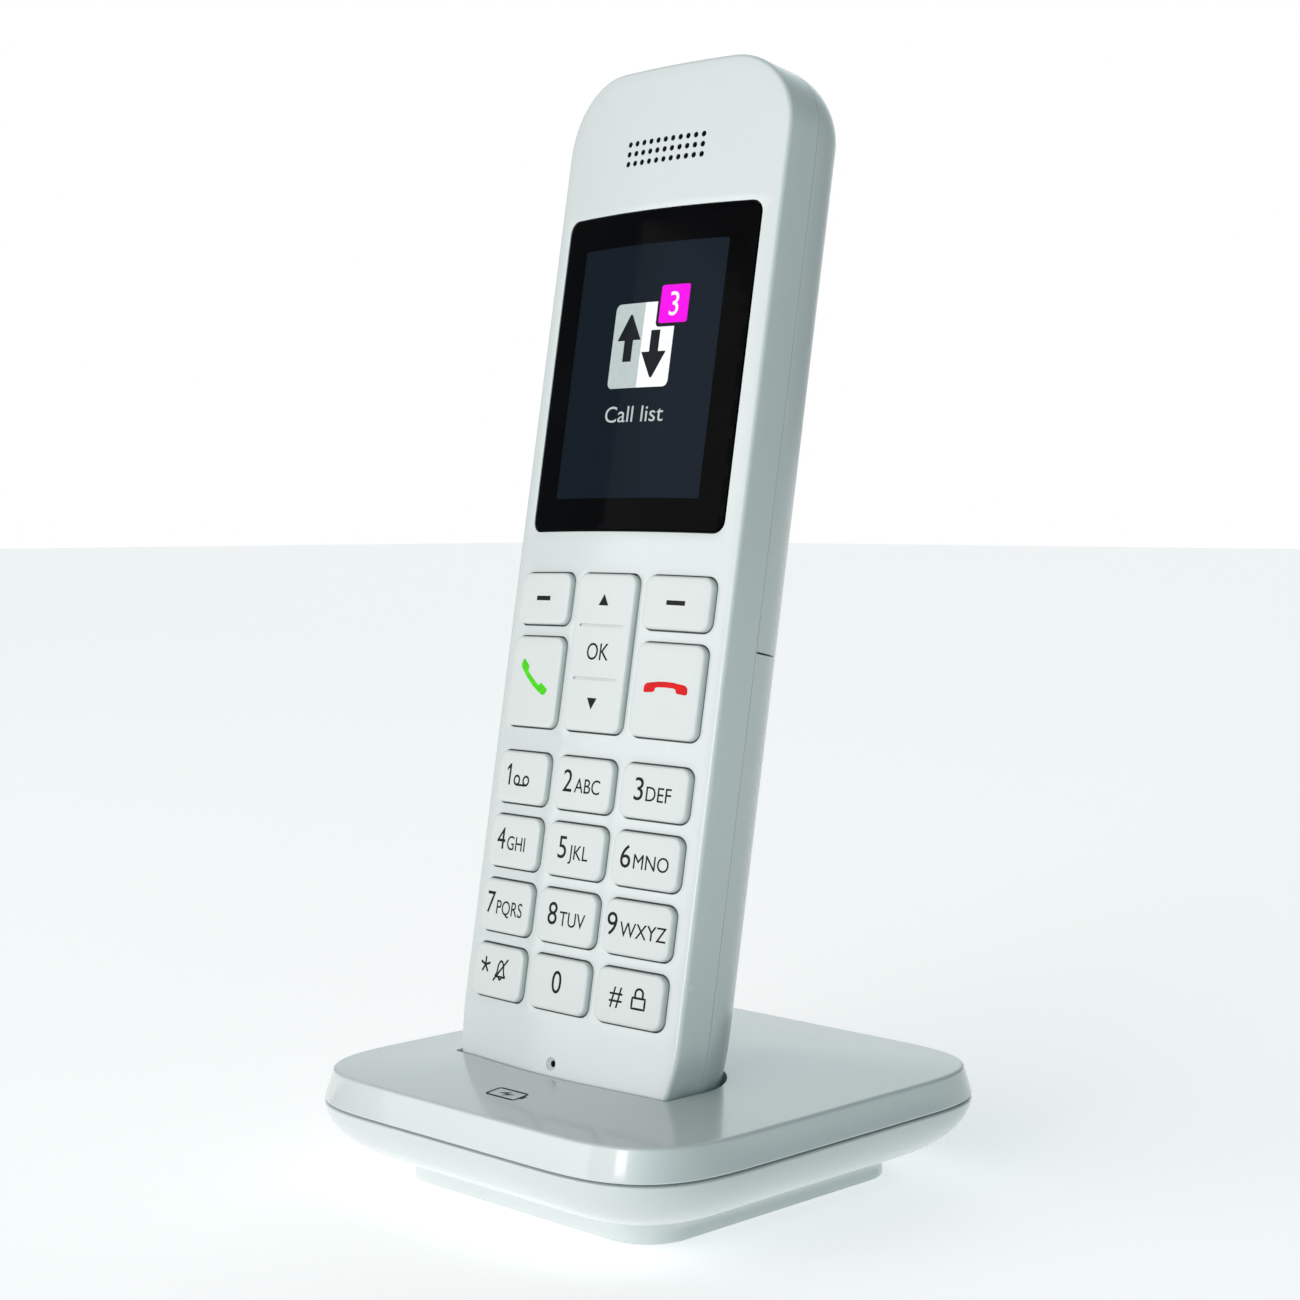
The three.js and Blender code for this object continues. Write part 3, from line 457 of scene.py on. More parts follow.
def metalMaterial(name):
    # metal with fine lines from drawing or stamping, long one way and close the other
    light, dark, roughness, stretch = metalLooks[name]
    material, tree, shader = materialNamed(name, {"Metallic": 1.0})
    lines = noiseOf(tree, 900, 4, stretch)
    finished(shader, (lines, [(0.3, dark), (0.7, light)]), (lines, *roughness), (lines, 0.12, 0.00002))
    return material


def rubberMaterial():
    # dry grey rubber with a fine cellular grain
    material, tree, shader = materialNamed("greyRubber", {"Specular IOR Level": 0.35, "Sheen Weight": 0.15})
    cells = textureOf(tree, "ShaderNodeTexVoronoi", {"Scale": 1500}, "Distance")
    stops = [(0.0, (0.09, 0.095, 0.10, 1)), (0.8, (0.15, 0.155, 0.16, 1))]
    finished(shader, (cells, stops), (cells, 0.7, 0.95), (cells, 0.4, 0.00008))
    return material


def boardMaterial():
    # solder mask over copper: bricks of tracks under green lacquer, with tinned pads
    material, tree, shader = materialNamed("circuitBoard", {"Coat Weight": 0.4, "Coat Roughness": 0.2})
    mapping = {"Rotation": (math.pi / 2, 0, 0)}
    tracks = textureOf(tree, "ShaderNodeTexBrick", {
        "Scale": 420, "Mortar Size": 0.06, "Brick Width": 1.6, "Row Height": 0.5,
        "Color1": (0.012, 0.10, 0.045, 1), "Color2": (0.016, 0.13, 0.06, 1), "Mortar": (0.03, 0.22, 0.10, 1),
    }, "Color", mapping=mapping)
    spots = {"Scale": 260, "Randomness": 0.6}
    pads = textureOf(tree, "ShaderNodeTexVoronoi", spots, "Distance", mapping=mapping)
    mixed = node(tree, "ShaderNodeMix", {"data_type": "RGBA"}, {"B": (0.55, 0.56, 0.54, 1)})
    link(rampOf(pads, [(0.10, (1, 1, 1, 1)), (0.13, (0, 0, 0, 1))]), mixed.inputs["Factor"])
    link(tracks, mixed.inputs["A"])
    link(mixed.outputs["Result"], shader.inputs["Base Color"])
    link(rangeOf(pads, 0.25, 0.45), shader.inputs["Roughness"])
    bumpInto(shader, tracks.node.outputs["Fac"], 0.3, 0.00004)
    return material


def sleeveMaterial():
    # a battery's shrink sleeve: green with darker bands round it and a faint wrinkle
    material, tree, shader = materialNamed("batterySleeve", {"Coat Weight": 0.5, "Coat Roughness": 0.1})
    upright = {"bands_direction": "Z"}
    bands = textureOf(tree, "ShaderNodeTexWave", {"Scale": 9, "Distortion": 0}, settings=upright)
    stops = [(0.35, (0.02, 0.16, 0.07, 1)), (0.5, (0.05, 0.30, 0.14, 1))]
    wrinkle = noiseOf(tree, 500, 4, (1, 1, 0.2))
    finished(shader, (bands, stops), (wrinkle, 0.2, 0.35), (wrinkle, 0.15, 0.00004))
    return material


whiteShell = mouldedPlastic("glossyWhiteShell")
cradleShell = mouldedPlastic("polishedCradleShell")
whiteKey = mouldedPlastic("satinWhiteKey")
# dark plastic, which also serves as painted shade
darkPlasticAndShade = mouldedPlastic("blackPlasticAndShade")
domeFilm = mouldedPlastic("domeFilm")
displayGlass = glassMaterial()
legendInk = inkMaterial("legendInk", "printed", (0.004, 0.004, 0.005))
greenInk = inkMaterial("talkGreenInk", "printed", (0.07, 0.68, 0.006))
redInk = inkMaterial("hangUpRedInk", "printed", (0.70, 0.002, 0.004))
markInk = inkMaterial("cradleMarkInk", "printed", (0.008, 0.009, 0.010))
nickelMetal = metalMaterial("nickelPlate")
steelMetal = metalMaterial("drawnSteel")
goldMetal = metalMaterial("goldPlate")
greyRubber = rubberMaterial()
circuitBoard = boardMaterial()
batterySleeve = sleeveMaterial()
print("materials made")

handsetForm = {
    "topCorner": 12.0,
    "bottomCorner": (12.0, 21.0),  # across, along
    "backRounding": 11.5,
    "faceEdge": 0.7,
    "crown": 2.2,  # how far the long edges stand behind the face's middle
    "faceWall": 1.8,
    "sideWall": 1.6,
    "tongueInset": 1.6,
    "backWall": 1.5,
    "backGrid": 1.5,
    "jointRounding": 0.16,
    "steps": 18,
}
coverLow, coverHigh = uprightBox("battery_cover")
halfWidth, partingDepth, handsetLength = uprightBox("front_shell")[1]
handsetDepth = uprightBox("rear_shell")[1][1]
partingGap = coverLow[1] - partingDepth
rearFace = partingDepth + partingGap


def crownAt(x):
    # a parabola across the face: crown * (x / half width)^2
    return handsetForm["crown"] * (np.asarray(x) / halfWidth) ** 2


def handsetOutline(inset):
    # the front view's outline moved in by inset, with longer corners at the lower end
    corner, (across, along) = handsetForm["topCorner"] - inset, handsetForm["bottomCorner"]
    return roundedOutline(
        halfWidth - inset, inset, handsetLength - inset, (across - inset, along - inset),
        (corner, corner), 2, handsetForm["steps"], 10, 24,
    )


def crownRing(outline, drop):
    # an outline in x and z, laid at a depth below the crown
    return ringAt(outline, crownAt(outline[:, 0]) + drop)


def handsetRing(inset, depth):
    # that outline at one depth, or at depth(x) for each point
    outline = handsetOutline(inset)
    return ringAt(outline, depth(outline[:, 0]) if callable(depth) else depth)


def domeRings(inset, depth, radius, steps=16):
    # The back's quarter round, from the side wall to the flat back: at angle a the ring is moved
    # in by radius * (1 - cos a) and stands radius * (1 - sin a) before the back.
    turn = np.linspace(0, math.pi / 2, steps + 1)
    return [handsetRing(inset + radius * (1 - math.cos(a)), depth - radius * (1 - math.sin(a))) for a in turn]


def handsetBody(grow):
    # the whole handset's form, grown all round, as a closed solid
    edge = handsetForm["faceEdge"]
    rings = [handsetRing(edge + 0.01 + s - grow, lambda x: crownAt(x) - grow) for s in (11, 7, 3, 0)]
    for inset, drop in roundEdge(edge):
        rings.append(handsetRing(inset - grow, lambda x: crownAt(x) + drop - grow))
    rings += domeRings(-grow, handsetDepth + grow, handsetForm["backRounding"] + grow)
    return loft(rings, True, True)


frontDetails = {
    "rim": 0.07,  # rounding where the face turns into a hole
    "shadeStartDepth": 0.2,  # where a hole's white wall ends and the painted shade of its dark inside begins
    "ledge": 1.6, "ledgeDepth": 1.05, "windowCorner": 2.0, "windowGap": 0.125,
    "keyGap": 0.25, "keyLip": 0.55, "keyCorner": 1.6,
    "earRows": 3, "earColumns": 11, "earPitch": 1.6, "earHole": 0.9, "earFromTop": 13.8,
    "micHole": 1.0, "micFunnel": 2.1, "micFunnelDepth": 0.55, "padGap": 0.3,
}
keyNames = [f"key_{k}" for k in "123456789"] + ["key_star", "key_0", "key_hash"]
keyNames += ["talk_key", "end_key", "soft_key_left", "soft_key_right", "nav_key"]


def faceOf(name):
    # middle and half size of a node across the face, in x and z
    box = uprightBox(name)
    return middleOf(box)[[0, 2]], ((box[1] - box[0]) / 2)[[0, 2]]


def keyFace(name):
    # a key's cap without its hidden flange
    centre, half = faceOf(name)
    return centre, half - (frontDetails["keyLip"] + frontDetails["keyGap"] / 2)


def roundRect(centre, half, corner, steps=6, cuts=4, sideCuts=4):
    both = (corner, corner)
    return roundedOutline(half[0], -half[1], half[1], both, both, 2, steps, cuts, sideCuts) + centre


windowCentre, windowHalf = faceOf("display_window")


def frontShellShape():
    # The face and the wall inside it, both cut through by the same holes, the walls of each
    # hole, and the rounded edge and sides down to the parting line.
    d, form = frontDetails, handsetForm
    rim, wall, gap = d["rim"], form["faceWall"], d["keyGap"]
    rimSteps = [(rim - a, b) for a, b in [(0, 0), (0.6 * rim, 0.2 * rim), (rim, rim)]]
    outerHoles, innerHoles, walls = [], [], []

    def addHole(outlineAt, steps, shadeFromRing):
        # rings of one hole from the face inwards: white up to the given ring, and past it painted dark as the
        # shade deep in the hole
        rings = [crownRing(outlineAt(grow), drop) for grow, drop in steps]
        outerHoles.append(rings[0][:, [0, 2]])
        innerHoles.append(rings[-1][:, [0, 2]])
        # the walls past that ring take the second material, dark plastic as painted shade
        walls.extend([loft(rings[:shadeFromRing + 1]), marked(loft(rings[shadeFromRing:]), 1)])

    for name in keyNames:
        centre, half = keyFace(name)
        addHole(
            lambda grow: roundRect(centre, half + gap + grow, d["keyCorner"] + gap / 2 + grow),
            [*rimSteps, (0, d["shadeStartDepth"]), (0, wall)], 3,
        )
    ledge, ledgeDepth, windowGap = d["ledge"], d["ledgeDepth"], 2 * d["windowGap"]
    addHole(
        lambda grow: roundRect(
            windowCentre, windowHalf + windowGap + grow, max(d["windowCorner"] + grow, 0.6), 8, 16, 16,
        ),
        [*rimSteps, (0, d["shadeStartDepth"]), (0, ledgeDepth), (-ledge, ledgeDepth), (-ledge, wall)], 3,
    )
    earCentre = handsetLength - d["earFromTop"]
    for row in range(d["earRows"]):
        for column in range(d["earColumns"]):
            x = (column - (d["earColumns"] - 1) / 2) * d["earPitch"]
            z = earCentre + (row - (d["earRows"] - 1) / 2) * d["earPitch"]
            addHole(
                lambda grow: circleOutline((x, z), d["earHole"] / 2 + grow, 16),
                [(0.05, 0), (0, 0.05), (0, 0.1), (0, wall)], 1,
            )
    micZ = middleOf(uprightBox("microphone"))[2]
    funnel = (d["micFunnel"] - d["micHole"]) / 2
    addHole(
        lambda grow: circleOutline((0, micZ), d["micHole"] / 2 + grow, 24),
        [(funnel, 0), (0.8 * funnel, 0.12), (0, d["micFunnelDepth"]), (0, wall)], 2,
    )
    edge, side, bevel = form["faceEdge"], form["sideWall"], form["jointRounding"]
    face = sheetWithHoles(handsetRing(edge, 0)[:, [0, 2]], outerHoles, lambda x, z: crownAt(x), 2.0)
    inner = sheetWithHoles(
        handsetRing(side, 0)[:, [0, 2]], innerHoles, lambda x, z: crownAt(x) + wall, 3.0,
    )
    rings = [handsetRing(inset, lambda x: crownAt(x) + drop) for inset, drop in roundEdge(edge, 5)]
    rings += [handsetRing(0, partingDepth - bevel - s) for s in (2.5, 1.2, 0)]
    rings += [handsetRing(bevel - a, partingDepth - b) for a, b in roundEdge(bevel, 2)[::-1][1:]]
    rings += [handsetRing(side, partingDepth), handsetRing(side, lambda x: crownAt(x) + wall)]
    return joined(face, inner, loft(rings), *walls)


def padTools(past):
    # boxes round the charge pads, which clear the way from below the handset to past
    tools, gap = [], frontDetails["padGap"]
    for name in ("charge_pad_left", "charge_pad_right"):
        low, high = uprightBox(name)
        tools.append(boxShape((low[0] - gap, low[1] - gap, -2), (high[0] + gap, high[1] + gap, past)))
    return tool(joined(*tools), leaned)


# its second material paints the walls deep inside the holes dark, as painted shade
frontShell = pieceOf("frontShell", frontShellShape(), leaned, whiteShell, second=darkPlasticAndShade)
carved(frontShell, padTools(2.5))
smoothed(frontShell)
settled(frontShell, "handset", "front_shell")

gapShadeDetails = {"clear": 0.03, "clearOfNav": 0.11, "reach": 0.3, "front": 0.2, "back": 1.2}


def gapShadeCollarShape():
    # dark collars in the gaps round the keys, just below the face, as painted shade in the gaps
    d, collars = gapShadeDetails, []
    for name in keyNames:
        centre, half = keyFace(name)
        clear = d["clearOfNav"] if name == "nav_key" else d["clear"]
        section = [(clear, d["front"]), (d["reach"], d["front"]), (d["reach"], d["back"]), (clear, d["back"])]
        rings = [
            crownRing(roundRect(centre, half + grow, frontDetails["keyCorner"] + grow), drop)
            for grow, drop in section
        ]
        collars.append(loft(rings, loop=True))
    return joined(*collars)


# a dark sheet in the key gaps, standing in for the shade there
settled(pieceOf("keyMat", gapShadeCollarShape(), leaned, darkPlasticAndShade), "handset")
print("front shell done")

rearDetails = {
    "speakerReach": 9.5, "slots": 5, "slotPitch": 2.8, "slotWidth": 1.2, "slotRim": 0.2,
    "ridges": 4, "ridgePitch": 2.4, "ridgeWidth": 14.0, "ridgeHalf": 0.55, "ridgeHeight": 0.35,
    "ridgeFromCover": 6.0, "bulkhead": 1.5, "bulkheadInset": 0.4, "coverWall": 1.3,
}
frameDetails = {
    "boardGap": 0.3, "shellGap": 0.3, "tongueWall": 1.2, "tongueRise": 0.4, "plate": 1, "cellGap": 0.4,
    "cellEnds": 2.8, "wellWall": 1.2, "wellFloor": 0.9, "wellDepth": 8, "screwHole": 1.4,
}


def flatCap(ring, spacing):
    # the flat part inside a level ring, on a grid of points: y stays as it is on the ring
    return sheetWithHoles(ring[:, [0, 2]], [], lambda x, z: np.full(len(x), ring[0, 1]), spacing)


def backShell(wall):
    # the rear half as a closed wall: an outer and an inner skin, each a flat back with a round edge
    form = handsetForm
    bevel = form["jointRounding"]
    rim = [(bevel, bevel), (0.3 * bevel, 0.7 * bevel), (0, 0)]
    outer = [handsetRing(form["tongueInset"], rearFace)]
    outer += [handsetRing(a, rearFace + bevel - b) for a, b in rim]
    outer += domeRings(0, handsetDepth, form["backRounding"])
    inner = [handsetRing(wall, rearFace)]
    inner += domeRings(wall, handsetDepth - wall, form["backRounding"] - wall)
    return joined(
        loft(outer), flatCap(outer[-1], form["backGrid"]),
        loft(inner), flatCap(inner[-1], 2 * form["backGrid"]),
        loft([outer[0], inner[0]]),
    )


def sliceTool(bottom, top, front=-10):
    # everything of the handset between two heights
    return tool(boxShape((-60, front, bottom), (60, 60, top)), leaned)


def speakerSlots():
    # Long holes with round ends, wider at the very surface, as long as a circle is wide there.
    d, parts = rearDetails, []
    speakerZ = middleOf(uprightBox("loudspeaker"))[2]
    for i in range(d["slots"]):
        offset = (i - (d["slots"] - 1) / 2) * d["slotPitch"]
        reach = math.sqrt(d["speakerReach"] ** 2 - offset ** 2)
        rings = []
        for grow, depth in [(0, -4), (0, -0.15), (d["slotRim"], 0.05)]:
            half = d["slotWidth"] / 2 + grow
            outline = roundRect((0, speakerZ + offset), (reach + grow, half), half - 0.001, 8, 6, 1)
            rings.append(ringAt(outline, handsetDepth + depth))
        parts.append(loft(rings, True, True))
    return joined(*parts)


coverTop = coverHigh[2]
rearBottom = coverTop + partingGap
bulkheadTop = rearBottom + rearDetails["bulkhead"]
rearShell = pieceOf("rearShell", backShell(handsetForm["backWall"]), leaned, whiteShell)
carved(rearShell, sliceTool(rearBottom, handsetLength + 20), "INTERSECT")
bulkhead = tool(handsetBody(-rearDetails["bulkheadInset"]), leaned)
carved(bulkhead, sliceTool(rearBottom, bulkheadTop, rearFace), "INTERSECT")
carved(rearShell, bulkhead, "UNION")
carved(rearShell, tool(speakerSlots(), leaned))
smoothed(rearShell)
settled(rearShell, "handset", "rear_shell")

plateFront = uprightBox("main_board")[1][1] + frameDetails["boardGap"]
plateBack = plateFront + frameDetails["plate"]
frameInset = handsetForm["sideWall"] + frameDetails["shellGap"]


def tongueShape():
    # a wall round the inside that reaches across the parting line
    outer, inner = frameInset, frameInset + frameDetails["tongueWall"]
    back = rearFace + frameDetails["tongueRise"]
    section = [(outer, plateFront), (outer, back), (inner, back), (inner, plateFront)]
    return loft([handsetRing(inset, depth) for inset, depth in section], loop=True)


def wellTool():
    # the open box that the batteries lie in
    d = frameDetails
    leftLow, leftHigh = uprightBox("battery_left")
    low = np.array([leftLow[0] - d["cellGap"], plateBack, leftLow[2] - d["cellEnds"]])
    right = uprightBox("battery_right")[1][0] + d["cellGap"]
    high = np.array([right, plateBack + d["wellDepth"], leftHigh[2] + d["cellEnds"]])
    wall = d["wellWall"]
    well = tool(boxShape(low - [wall, d["wellFloor"], wall], high + [wall, 0, wall]), leaned)
    carved(well, tool(boxShape(low, high + [0, 5, 0]), leaned))
    return well


innerFrame = pieceOf("innerFrame", tongueShape(), leaned, whiteShell)
plate = tool(slabShape(handsetOutline(frameInset), plateFront, plateBack), leaned)
carved(plate, sliceTool(-10, bulkheadTop), "INTERSECT")
carved(innerFrame, plate, "UNION")
carved(innerFrame, wellTool(), "UNION")
for side in ("left", "right"):
    hole = circleOutline(faceOf(f"handset_screw_{side}")[0], frameDetails["screwHole"])
    carved(innerFrame, tool(slabShape(hole, -5, 30), leaned))
carved(innerFrame, padTools(3.3))
smoothed(innerFrame)
settled(innerFrame, "handset")


def gripRidgeShape():
    # Long low swells: rounded bars whose section is a half ellipse.
    d, parts = rearDetails, []
    for i in range(d["ridges"]):
        z = coverTop - d["ridgeFromCover"] - i * d["ridgePitch"]
        rings = []
        for a in np.linspace(0, math.pi / 2, 6):
            grow = d["ridgeHalf"] * math.cos(a)
            half = (d["ridgeWidth"] / 2 - 0.6 + grow, 0.03 + grow)
            outline = roundRect((0, z), half, 0.029 + grow, 5, 8, 1)
            rings.append(ringAt(outline, handsetDepth + d["ridgeHeight"] * math.sin(a)))
        parts.append(loft([rings[0] - [0, 0.6, 0], *rings], True, True))
    return joined(*parts)


batteryCover = pieceOf("batteryCover", backShell(rearDetails["coverWall"]), leaned, whiteShell)
carved(batteryCover, sliceTool(-20, coverTop), "INTERSECT")
carved(batteryCover, tool(gripRidgeShape(), leaned), "UNION")
smoothed(batteryCover, 40)
settled(batteryCover, "battery_cover", "battery_cover")
print("rear shell and cover done")

displayDetails = {
    "windowCorner": 1.9, "windowEdge": 0.12, "windowThickness": 0.8,
    "screenHalf": (15.6, 20.15), "screenShift": -0.15, "inlay": 0.012, "printDepth": 0.05,
    # the right colour is the screen's own with a painted reflection on it
    "screenLeft": (0.0058, 0.0100, 0.0165, 1), "screenRightReflected": (0.0085, 0.0135, 0.0215, 1),
}


def windowShape():
    # A slab that follows the crown, with a rounded front edge and straight sides.
    d = displayDetails
    edge, back = d["windowEdge"], d["windowThickness"]

    def outlineAt(grow):
        return roundRect(windowCentre, windowHalf + grow, d["windowCorner"] + grow, 8, 16, 16)

    sheet = sheetWithHoles(outlineAt(-edge), [], lambda x, z: crownAt(x), 2.0)
    under = sheetWithHoles(outlineAt(0), [], lambda x, z: crownAt(x) + back, 3.0)
    rings = [crownRing(outlineAt(-inset), drop) for inset, drop in roundEdge(edge, 3)]
    return joined(sheet, loft([*rings, crownRing(outlineAt(0), back)]), under)


displayWindow = pieceOf("displayWindow", windowShape(), leaned, displayGlass)
settled(displayWindow, "handset", "display_window")


def screenMaterial():
    # the lit screen: deep blue-grey with fine rows, and a right half painted paler as a painted reflection of
    # a softbox
    material, tree, shader = materialNamed("litScreen", {"Specular IOR Level": 0.02})
    split = node(tree, "ShaderNodeSeparateXYZ")
    link(placeOn(tree), split.inputs["Vector"])
    reach = displayDetails["screenHalf"][0] * 0.001 + 0.0004
    across = node(tree, "ShaderNodeMapRange", inputs={"From Min": -reach, "From Max": reach})
    link(split.outputs["X"], across.inputs["Value"])
    left, right = displayDetails["screenLeft"], displayDetails["screenRightReflected"]
    rows = textureOf(tree, "ShaderNodeTexWave", {"Scale": 1600}, settings={"bands_direction": "Z"})
    # paler towards the right: a painted reflection
    stops = [(0.0, left), (0.45, left), (0.7, right)]
    finished(shader, (across.outputs["Result"], stops), (rows, 0.05, 0.09), (rows, 0.02, 0.00001))
    return material


def inlaid(name, shape, material, body="handset"):
    return settled(pieceOf(name, shape, leaned, material), body)


def flatSlab(outline, lift, spacing=3.0):
    # A thin printed layer on the crowned face: its front stands above it, its back is just inside.
    drops = (-lift, displayDetails["printDepth"] - lift)
    sheets = [sheetWithHoles(outline, [], lambda x, z: crownAt(x) + drop, spacing) for drop in drops]
    return joined(*sheets, loft([crownRing(outline, drop) for drop in drops]))


screenCentre = (0, windowCentre[1] + displayDetails["screenShift"])
screenOutline = roundRect(screenCentre, displayDetails["screenHalf"], 0.3, 2, 12, 12)
inlaid("litScreen", flatSlab(screenOutline, displayDetails["inlay"]), screenMaterial())

screenArt = {
    "tileCentre": (0.24, 124.9), "tileHalf": (6.55, 6.75), "tileCorner": 1.0,
    "arrowHeight": 7.5, "arrowSide": 2.85, "arrowRaise": (1.2, -1.5), "arrowHead": (2.6, 4.1),
    "arrowShaft": 0.95,
    "badgeCentre": (6.3, 131.15), "badgeHalf": (2.9, 3.0), "badgeFrame": 0.55, "countHeight": 3.7,
    "labelCentre": (0.4, 114.0), "labelHeight": 2.5,
    "lift": 0.02,
}

paleInk = inkMaterial("screenPaleGrey", "lit", (0.46, 0.52, 0.515))
brightInk = inkMaterial("screenWhite", "lit", (0.87, 0.88, 0.88))
darkInk = inkMaterial("screenDark", "lit", (0.012, 0.014, 0.018))
badgeInk = inkMaterial("screenMagenta", "lit", (0.86, 0.006, 0.76))
tileX, tileZ = screenArt["tileCentre"]


def halfTile(side):
    # one half of the rounded tile, cut along its middle line
    full = roundRect((tileX, tileZ), screenArt["tileHalf"], screenArt["tileCorner"], 5, 6, 4)
    full[:, 0] = np.maximum(full[:, 0], tileX) if side > 0 else np.minimum(full[:, 0], tileX)
    full = full[np.linalg.norm(full - np.roll(full, 1, 0), axis=1) > 1e-6]
    onMiddle = np.abs(full[:, 0] - tileX) < 1e-6
    atEnd = np.abs(full[:, 1] - tileZ) > screenArt["tileHalf"][1] - 1e-6
    return full[~onMiddle | atEnd]


def arrowOutline(centre, up):
    # a broad arrow: a shaft and a wide head with a blunted tip
    half, shaft = screenArt["arrowHeight"] / 2, screenArt["arrowShaft"]
    headHalf, headHeight = screenArt["arrowHead"]
    points = np.array([
        [-shaft, -half], [shaft, -half], [shaft, half - headHeight], [headHalf, half - headHeight],
        [0.2, half], [-0.2, half], [-headHalf, half - headHeight], [-shaft, half - headHeight],
    ])
    return (points if up else -points) + centre


def inkSlab(name, outline, material, step=0, spacing=3.0):
    # each printed layer stands a little above the one under it
    inlaid(name, flatSlab(outline, screenArt["lift"] + step, spacing), material)


inkSlab("tileLeft", halfTile(-1), paleInk)
inkSlab("tileRight", halfTile(1), brightInk)
for name, side, raised in zip(("arrowUp", "arrowDown"), (-1, 1), screenArt["arrowRaise"]):
    arrow = arrowOutline((tileX + side * screenArt["arrowSide"], tileZ + raised), side < 0)
    inkSlab(name, arrow, darkInk, 0.01, 2.0)
badgeHalf = np.array(screenArt["badgeHalf"])
badgeFrame = roundRect(screenArt["badgeCentre"], badgeHalf + screenArt["badgeFrame"], 0.7, 4, 4, 4)
inkSlab("badgeFrame", badgeFrame, darkInk, 0.02, 1.0)
inkSlab("badge", roundRect(screenArt["badgeCentre"], badgeHalf, 0.4, 4, 4, 4), badgeInk, 0.04, 1.0)
print("display done")

capital = []  # foot and top of a capital letter, measured once


def textShape(text, height, stretch=1.0):
    # Lettering as a closed thin slab: x and z of its points, which of them are in front, faces.
    curve = bpy.data.curves.new("lettering", "FONT")
    curve.body = text
    curve.align_x, curve.align_y = "LEFT", "BOTTOM_BASELINE"
    curve.extrude = 0.5
    curve.resolution_u = 4
    holder = bpy.data.objects.new("lettering", curve)
    bpy.context.scene.collection.objects.link(holder)
    graph = bpy.context.evaluated_depsgraph_get()
    mesh = bpy.data.meshes.new_from_object(holder.evaluated_get(graph))
    points = np.zeros(len(mesh.vertices) * 3)
    mesh.vertices.foreach_get("co", points)
    points = points.reshape(-1, 3)
    faces = [list(face.vertices) for face in mesh.polygons]
    bpy.data.objects.remove(holder)
    bpy.data.curves.remove(curve)
    bpy.data.meshes.remove(mesh)
    if not capital:
        capital.extend([0, 1])
        tall = textShape("H", 1.0)[0][:, 1]
        capital[:] = [tall.min(), tall.max()]
    scale = height / (capital[1] - capital[0])
    flat = (points[:, :2] - [0, capital[0]]) * scale * [stretch, 1]
    return flat, points[:, 2] > 0, faces


def moved(art, x, z):
    return art[0] + [x, z], art[1], art[2]


def centred(art, z):
    # an art moved so that its middle is at x = 0
    return moved(art, -(art[0][:, 0].min() + art[0][:, 0].max()) / 2, z)


def printed(art, centre, base, lift):
    # Lays an art on the crowned face: its own x and z, and a depth that follows the crown.
    flat, front, faces = moved(art, *centre)
    depth = crownAt(flat[:, 0]) + base - lift + np.where(front, 0, displayDetails["printDepth"])
    return np.stack([flat[:, 0], depth, flat[:, 1]], 1), faces


label = centred(textShape("Call list", screenArt["labelHeight"], 1.17), -screenArt["labelHeight"] / 2)
inlaid("screenLabel", printed(label, screenArt["labelCentre"], 0, screenArt["lift"]), paleInk)
count = centred(textShape("3", screenArt["countHeight"], 0.92), -screenArt["countHeight"] / 2)
inlaid("badgeCount", printed(count, screenArt["badgeCentre"], 0, screenArt["lift"] + 0.07), brightInk)

keyDetails = {
    "rise": 0.9, "edge": 0.42, "lipDepth": 3.95, "lipThickness": 0.65,
    "grooveWidth": 0.45, "grooveDepth": 0.3, "grooveMargin": 1.5, "plungerGap": 0.3,
}


def keyShape(centre, half):
    # The cap's front is a sheet on the crown, its rim a quarter round, then a straight side
    # down to a flat flange behind the face.
    d = keyDetails

    def outlineAt(grow):
        return roundRect(centre, half + grow, max(frontDetails["keyCorner"] + grow, 0.3), 8, 6, 8)

    front = sheetWithHoles(outlineAt(-d["edge"]), [], lambda x, z: crownAt(x) - d["rise"], 1.0)
    rings = [crownRing(outlineAt(-inset), drop - d["rise"]) for inset, drop in roundEdge(d["edge"], 5)]
    side, lip = outlineAt(0), outlineAt(frontDetails["keyLip"])
    back = d["lipDepth"] + d["lipThickness"]
    rings += [ringAt(side, d["lipDepth"]), ringAt(lip, d["lipDepth"]), ringAt(lip, back)]
    return joined(front, loft(rings, closeLast=True))


def navCuts(centre, half):
    # room for the plunger behind the navigation key, and two grooves that part it in three
    d = keyDetails
    low, high = uprightBox("nav_plunger")
    gap = d["plungerGap"]
    yield boxShape(low - gap, high + [gap, 5, gap])
    third = (2 * half[1] + frontDetails["keyGap"]) / 6
    groove = (half[0] - d["grooveMargin"], d["grooveWidth"] / 2)
    for side in (-1, 1):
        outline = roundRect((0, centre[1] + side * third), groove, groove[1] - 0.001, 5, 8, 1)
        yield loft([crownRing(outline, s) for s in (-2, d["grooveDepth"] - d["rise"])], True, True)


for name in keyNames:
    centre, half = keyFace(name)
    key = pieceOf(name.replace("_", "") + "Cap", keyShape(centre, half), leaned, whiteKey)
    if name == "nav_key":
        for cut in navCuts(centre, half):
            carved(key, tool(cut, leaned))
        smoothed(key)
    settled(key, name, name)
print("keys done")

